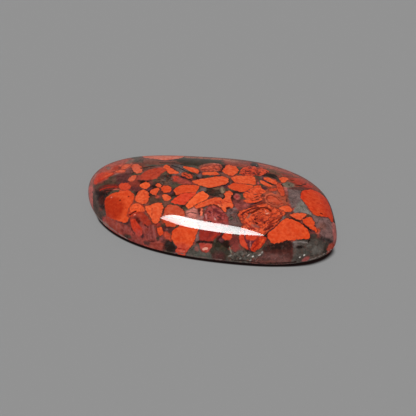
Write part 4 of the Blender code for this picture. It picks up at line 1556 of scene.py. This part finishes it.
def lay_layers(nodes, texture, colour):
    """The fragments, layer by layer: colour, marks, distance from the edge, share inside one."""
    marks, depth, inside = (0.0, 0.0, 0.0), 0.0, 0.0
    for k in range(LAYERS):
        edge = nodes.math("ADD", nodes.attribute(f"edge_{k}").outputs["Fac"], texture.wobble)
        tint = nodes.attribute(f"tint_{k}")
        softness = tint.outputs["Alpha"]
        rim = nodes.attribute(f"rim_{k}").outputs["Fac"]
        colour = nodes.mix_colour(nodes.product(nodes.ramp(edge, *RIM_REACH), rim), colour, RIM_DARK)
        share = nodes.ramp(edge, nodes.product(softness, -1.0), softness)
        colour = nodes.mix_colour(share, colour, tint.outputs["Color"])
        marks = nodes.mix_vector(share, marks, nodes.attribute(f"marks_{k}").outputs["Vector"])
        depth = nodes.mix_value(share, depth, edge)
        inside = nodes.mix_value(share, inside, 1.0)
    return colour, marks, depth, inside


def mottled(nodes, texture, colour, strength, inside):
    """Fragments with darker, redder clouds, paler stains, fine shading and dark red flecks."""
    redder = nodes.tinted(colour, REDDER_TINT)
    clouds = nodes.product(nodes.ramp(texture.mottle, *MOTTLE_RANGE), strength)
    colour = nodes.mix_colour(clouds, colour, redder)
    paler = nodes.tinted(colour, PALER_TINT)
    stains = nodes.product(nodes.ramp(texture.stain, *STAIN_RANGE), inside, STAIN_STRENGTH)
    colour = nodes.mix_colour(stains, colour, paler)
    freckles = nodes.ramp(texture.grain, *FRECKLE_RANGE)
    freckles = nodes.product(freckles, strength, FRECKLE_STRENGTH)
    colour = nodes.mix_colour(freckles, colour, redder)
    uneven = nodes.ramp(nodes.noise(texture.place, *UNEVEN_NOISE), *UNEVEN_RANGE)
    shaded = nodes.mix_colour(
        uneven, nodes.tinted(colour, DARKER_TINT), nodes.tinted(colour, BRIGHTER_TINT))
    flecks = nodes.ramp(nodes.noise(texture.place, *FLECK_NOISE), *FLECK_RANGE)
    flecks = nodes.product(flecks, strength, FLECK_STRENGTH)
    shaded = nodes.mix_colour(flecks, shaded, FLECK_RED)
    return nodes.mix_colour(inside, colour, shaded)


def cracked(nodes, texture, colour, crackle, rings, depth):
    """Thin dark lines between small cells, and rings that follow a fragment's edge."""
    here = nodes.ramp(texture.mottle, *CRACK_PLACES)
    cracks = nodes.cells(texture.warped, CRACK_CELLS_PER_METRE, "DISTANCE_TO_EDGE")["Distance"]
    cracks = nodes.product(nodes.ramp(cracks, *CRACK_RANGE), crackle, here)
    colour = nodes.mix_colour(cracks, colour, CRACK_DARK)
    wave = nodes.math("ADD", nodes.product(depth, RING_TURN), RING_START)
    wave = nodes.math("SINE", wave)
    wave = nodes.product(nodes.ramp(wave, *RING_RANGE), rings, here)
    return nodes.mix_colour(wave, colour, RING_DARK)


def stroked(nodes, texture, colour):
    """The fine lines and spots, over everything."""
    stroke = nodes.attribute(f"tint_{LAYERS}").outputs["Color"]
    edge = nodes.attribute(f"edge_{LAYERS}").outputs["Fac"]
    edge = nodes.math("ADD", edge, nodes.product(texture.wobble, STROKE_WOBBLE))
    return nodes.mix_colour(nodes.ramp(edge, -STROKE_EDGE, STROKE_EDGE), colour, stroke)


def specked(nodes, texture, colour, inside):
    """A few pale specks in the ground."""
    specks = nodes.cells(texture.place, SPECKS_PER_METRE)
    rare = nodes.ramp(specks["Color"], *SPECK_CHOICE)
    outside = nodes.math("SUBTRACT", 1.0, inside)
    dots = nodes.ramp(specks["Distance"], *SPECK_RANGE)
    dots = nodes.product(dots, rare, outside, SPECK_STRENGTH)
    return nodes.mix_colour(dots, colour, SPECK_PALE)


def stone_material():
    """Polished jasper breccia, its colours from the pattern on the mesh and fine noise."""
    material = bpy.data.materials.new("polished_breccia")
    material.use_nodes = True
    nodes = Nodes(material.node_tree)
    shader = material.node_tree.nodes["Principled BSDF"]
    texture = shared_textures(nodes)
    colour = ground_colour(nodes, texture)
    colour, marks, depth, inside = lay_layers(nodes, texture, colour)
    mottle, crackle, rings = nodes.add("ShaderNodeSeparateXYZ", {0: marks}).outputs
    colour = mottled(nodes, texture, colour, mottle, inside)
    colour = cracked(nodes, texture, colour, crackle, rings, depth)
    colour = stroked(nodes, texture, colour)
    colour = specked(nodes, texture, colour, inside)
    dullness = nodes.attribute("backness").outputs["Fac"]
    roughness = nodes.ramp(dullness, *DULL_RANGE, POLISHED_ROUGHNESS, GROUND_ROUGHNESS)
    nodes.tree.links.new(colour, shader.inputs["Base Color"])
    nodes.tree.links.new(roughness, shader.inputs["Roughness"])
    shader.inputs["IOR"].default_value = STONE_IOR
    return material


# Stage

FLOOR_SIZE = 2.0
FLOOR_DROP = 0.00002                  # how far the floor lies under the flat back
FLOOR_GREY = 0.03                     # what the floor scatters of the light that falls on it
FLOOR_GLOW = 0.253                    # and its own even glow, as of a light table
FLOOR_ROUGHNESS = 0.9
FLOOR_SPECULAR = 0.1
BACKDROP = 0.287
# Lamps that light the stone evenly: name, metres away from the photograph's camera, height, watts
LAMPS = [
    ("front_lamp", -0.5, 0.15, 1.1), ("back_lamp", 0.42, 0.34, 0.7), ("top_lamp", 0.0, 0.4, 0.25)]
LAMP_SIZE = 0.3
ROOM_LIGHT = 0.62                     # what lights the stone from all round
ROOM_BELOW = 0.14                     # what its polish reflects under the horizon
ROOM_HORIZON = 0.26                   # at the horizon
ROOM_CEILING = 0.09                   # and higher up
ROOM_CEILING_RISE = 0.45              # how far up that starts, as the direction's height
ROOM_FLOOR_FALL = -0.25               # and how far down the part under the horizon is full
ROOM_RIGHT_SHARE = 0.2                # how much is left on the photograph's right
ROOM_RIGHT = (0.1, 0.7)               # how far to the right that starts and is full
# The painted contact shadow, a dark line painted on the floor right at the stone. Which way the
# girdle faces there, in degrees to the photograph's right of its camera, and how far out from the
# girdle, in mm, the floor is dark and from where on it is clear
CONTACT_SHADOW = [
    (-180, -0.12, 0.12), (-120, -0.12, 0.12), (-105, -0.8, -0.4), (-75, -0.8, -0.4),
    (-62, -0.2, 0.12), (-45, -0.1, 0.13), (-10, -0.12, 0.15), (2, -0.12, 0.2), (20, 0.05, 0.75),
    (40, -0.05, 0.9), (55, -0.2, 0.85), (62, -0.3, 0.7), (70, -0.6, 0.25), (80, -1.0, -0.5),
    (110, -1.0, -0.5), (130, -0.12, 0.12), (180, -0.12, 0.12)]
CONTACT_SHADOW_DARK = (0.030, 0.015, 0.014)  # how much of the floor's colour is left there
CONTACT_POINTS = 360
CONTACT_RINGS = 41
CONTACT_FROM = -0.85                  # the floor's inner edge, in mm out from the girdle
CONTACT_TO = 2.8                      # and its last fine ring

# Outline of the panel whose reflection is the white streak: mm to the photograph's right and away
PANEL_OUTLINE = [
    (-124, 40), (-111, 62), (-98, 80), (-85, 91), (-73, 93), (-61, 86), (-46, 68), (-24, 51),
    (-8, 30), (2, 7), (16, -32), (14, -41), (-4, -49), (-26, -57), (-43, -57), (-70, -42),
    (-84, -33), (-98, -16), (-111, 10), (-119, 27)]
PANEL_HEIGHT = 0.3
PANEL_RADIANCE = 20.0
# Where the panel is dimmer. From and to, in metres along it, and the share of its glow at both
PANEL_LEFT_END = (-0.120, -0.072, 0.60, 1.0)
PANEL_MIDDLE = (-0.062, -0.022, 1.0, 0.88)
PANEL_FAR_EDGE = (-0.030, 0.010, 1.0, 0.80)
PANEL_FAR_SLANT = 1.55                # metres of that edge's place for each metre along


def floor_mesh():
    """Rings round the stone, close at the contact, and how clear of the painted contact shadow they
    are.

    It is open under the stone, so that views from below show the back in the room's light.
    """
    angles = math.tau * np.arange(CONTACT_POINTS) / CONTACT_POINTS
    rim = sized_outline(angles) / MILLIMETRE
    along = np.roll(rim, -1, axis=0) - np.roll(rim, 1, axis=0)
    outward = np.stack([along[:, 1], -along[:, 0]], axis=-1)
    outward /= np.linalg.norm(outward, axis=1)[:, None]
    photo_right = np.array([math.cos(PHOTO_AZIMUTH), math.sin(PHOTO_AZIMUTH)])
    photo_near = np.array([math.sin(PHOTO_AZIMUTH), -math.cos(PHOTO_AZIMUTH)])
    facing = np.degrees(np.arctan2(outward @ photo_right, outward @ photo_near))
    turns, darks, clears = np.array(CONTACT_SHADOW, float).T
    dark, clear = np.interp(facing, turns, darks), np.interp(facing, turns, clears)
    points, shares = [], []
    for reach in np.linspace(CONTACT_FROM, CONTACT_TO, CONTACT_RINGS):
        points.append(rim + outward * reach)
        shares.append(smoothstep((reach - dark) / (clear - dark)))
    points.append(FLOOR_SIZE / MILLIMETRE * rim / np.linalg.norm(rim, axis=1)[:, None])
    shares.append(np.ones(CONTACT_POINTS))
    points = np.hstack([np.vstack(points) * MILLIMETRE, np.zeros((len(points) * CONTACT_POINTS, 1))])
    faces = []
    for ring in range(CONTACT_RINGS):
        inner = ring * CONTACT_POINTS
        faces += strip_faces(inner, inner + CONTACT_POINTS, CONTACT_POINTS)
    mesh = bpy.data.meshes.new("floor")
    mesh.from_pydata(points.tolist(), [], faces)
    write_attribute(mesh, "clear", "FLOAT", np.concatenate(shares))
    return mesh


def build_floor():
    """Plain pale floor with a painted shadow right where the stone meets it, and clear from below."""
    floor = bpy.data.objects.new("floor", floor_mesh())
    bpy.context.scene.collection.objects.link(floor)
    floor.location.z = -FLOOR_DROP
    floor.visible_glossy = False
    material = bpy.data.materials.new("floor")
    material.use_nodes = True
    tree = material.node_tree
    nodes = Nodes(tree)
    shader = tree.nodes["Principled BSDF"]
    # the painted contact shadow darkens both the floor's colour and its glow
    clear = nodes.attribute("clear").outputs["Fac"]
    colour = nodes.mix_colour(clear, (*CONTACT_SHADOW_DARK, 1), (1, 1, 1, 1))
    tree.links.new(nodes.scaled(colour, FLOOR_GREY), shader.inputs["Base Color"])
    tree.links.new(colour, shader.inputs["Emission Color"])
    shader.inputs["Emission Strength"].default_value = FLOOR_GLOW
    shader.inputs["Roughness"].default_value = FLOOR_ROUGHNESS
    shader.inputs["Specular IOR Level"].default_value = FLOOR_SPECULAR
    below = nodes.add("ShaderNodeNewGeometry").outputs["Backfacing"]
    see_through = nodes.add("ShaderNodeBsdfTransparent").outputs[0]
    surface = nodes.add("ShaderNodeMixShader", {0: below, 1: shader.outputs[0], 2: see_through})
    tree.links.new(surface.outputs[0], tree.nodes["Material Output"].inputs["Surface"])
    floor.data.materials.append(material)


def build_panel():
    """The softbox overhead that the polish mirrors, dimmer towards both ends and its far edge."""
    outline = rounded(np.array(PANEL_OUTLINE, float) * MILLIMETRE)
    mesh = bpy.data.meshes.new("softbox")
    corners = [(x, y, 0) for x, y in outline]
    mesh.from_pydata(corners, [], [tuple(range(len(corners)))])
    material = bpy.data.materials.new("softbox")
    material.use_nodes = True
    nodes = Nodes(material.node_tree)
    place = nodes.add("ShaderNodeTexCoord").outputs["Object"]
    along, away, _ = nodes.add("ShaderNodeSeparateXYZ", {0: place}).outputs
    far_edge = nodes.math("ADD", nodes.product(along, PANEL_FAR_SLANT), away)
    glow = nodes.product(
        nodes.ramp(along, *PANEL_LEFT_END), nodes.ramp(along, *PANEL_MIDDLE),
        nodes.ramp(far_edge, *PANEL_FAR_EDGE), PANEL_RADIANCE)
    shader = material.node_tree.nodes["Principled BSDF"]
    shader.inputs["Base Color"].default_value = (0, 0, 0, 1)
    shader.inputs["Emission Color"].default_value = (1, 1, 1, 1)
    material.node_tree.links.new(glow, shader.inputs["Emission Strength"])
    mesh.materials.append(material)
    panel = bpy.data.objects.new("softbox", mesh)
    panel.location.z = PANEL_HEIGHT
    panel.rotation_euler.z = PHOTO_AZIMUTH
    panel.visible_camera = False
    panel.visible_diffuse = False
    bpy.context.scene.collection.objects.link(panel)


def build_room():
    """Soft lamps that the polish doesn't mirror, in a pale room that it mirrors dimly."""
    away = Vector((-math.sin(PHOTO_AZIMUTH), math.cos(PHOTO_AZIMUTH), 0))
    for name, at_away, height, watts in LAMPS:
        light = bpy.data.lights.new(name, "AREA")
        light.size = LAMP_SIZE
        light.energy = watts
        lamp = bpy.data.objects.new(name, light)
        lamp.location = away * at_away + Vector((0, 0, height))
        lamp.rotation_mode = "QUATERNION"
        lamp.rotation_quaternion = (-lamp.location).to_track_quat("-Z", "Y")
        lamp.visible_glossy = False
        lamp.visible_camera = False
        bpy.context.scene.collection.objects.link(lamp)

    world = bpy.data.worlds.new("room")
    world.use_nodes = True
    nodes = Nodes(world.node_tree)
    background = world.node_tree.nodes["Background"]
    direction = nodes.add("ShaderNodeTexCoord").outputs["Generated"]
    rise = nodes.add("ShaderNodeSeparateXYZ", {0: direction}).outputs["Z"]
    reflected = nodes.ramp(rise, 0.0, ROOM_CEILING_RISE, ROOM_HORIZON, ROOM_CEILING)
    reflected = nodes.mix_value(nodes.ramp(rise, ROOM_FLOOR_FALL, 0.0), ROOM_BELOW, reflected)
    right = (math.cos(PHOTO_AZIMUTH), math.sin(PHOTO_AZIMUTH), 0)
    rightward = nodes.vector("DOT_PRODUCT", {0: direction, 1: right}, "Value")
    reflected = nodes.product(reflected, nodes.ramp(rightward, *ROOM_RIGHT, 1.0, ROOM_RIGHT_SHARE))
    ray = nodes.add("ShaderNodeLightPath").outputs
    strength = nodes.mix_value(ray["Is Glossy Ray"], ROOM_LIGHT, reflected)
    strength = nodes.mix_value(ray["Is Camera Ray"], strength, BACKDROP)
    world.node_tree.links.new(strength, background.inputs["Strength"])
    background.inputs["Color"].default_value = (1, 1, 1, 1)
    bpy.context.scene.world = world


def build_camera():
    """The photograph's camera."""
    place, _, _, forward = photo_axes()
    data = bpy.data.cameras.new("photo_camera")
    data.sensor_width = SENSOR_WIDTH
    data.lens = data.sensor_width / 2 / math.tan(PHOTO_VIEW_ANGLE / 2)
    data.clip_start = NEAREST_SEEN
    camera = bpy.data.objects.new("photo_camera", data)
    camera.location = place
    camera.rotation_mode = "QUATERNION"
    camera.rotation_quaternion = forward.to_track_quat("-Z", "Y")
    bpy.context.scene.collection.objects.link(camera)
    bpy.context.scene.camera = camera


def main():
    build_camera()
    build_floor()
    build_room()
    build_panel()
    bpy.context.scene.view_settings.view_transform = "Standard"
    stone, back_first = build_stone()
    pattern = Pattern(stone, back_first)
    paint_ground(pattern)
    paint_patches(pattern)
    lay_fragments(pattern)
    lay_strokes(pattern)
    lay_hidden_fragments(pattern)
    print("fragments that share a layer with a close one:", pattern.crowded)
    write_pattern(pattern, back_first)
    write_map(pattern, back_first)
    stone.data.materials.append(stone_material())
    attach(stone, "root")
    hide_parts(STONE_NODE)


main()
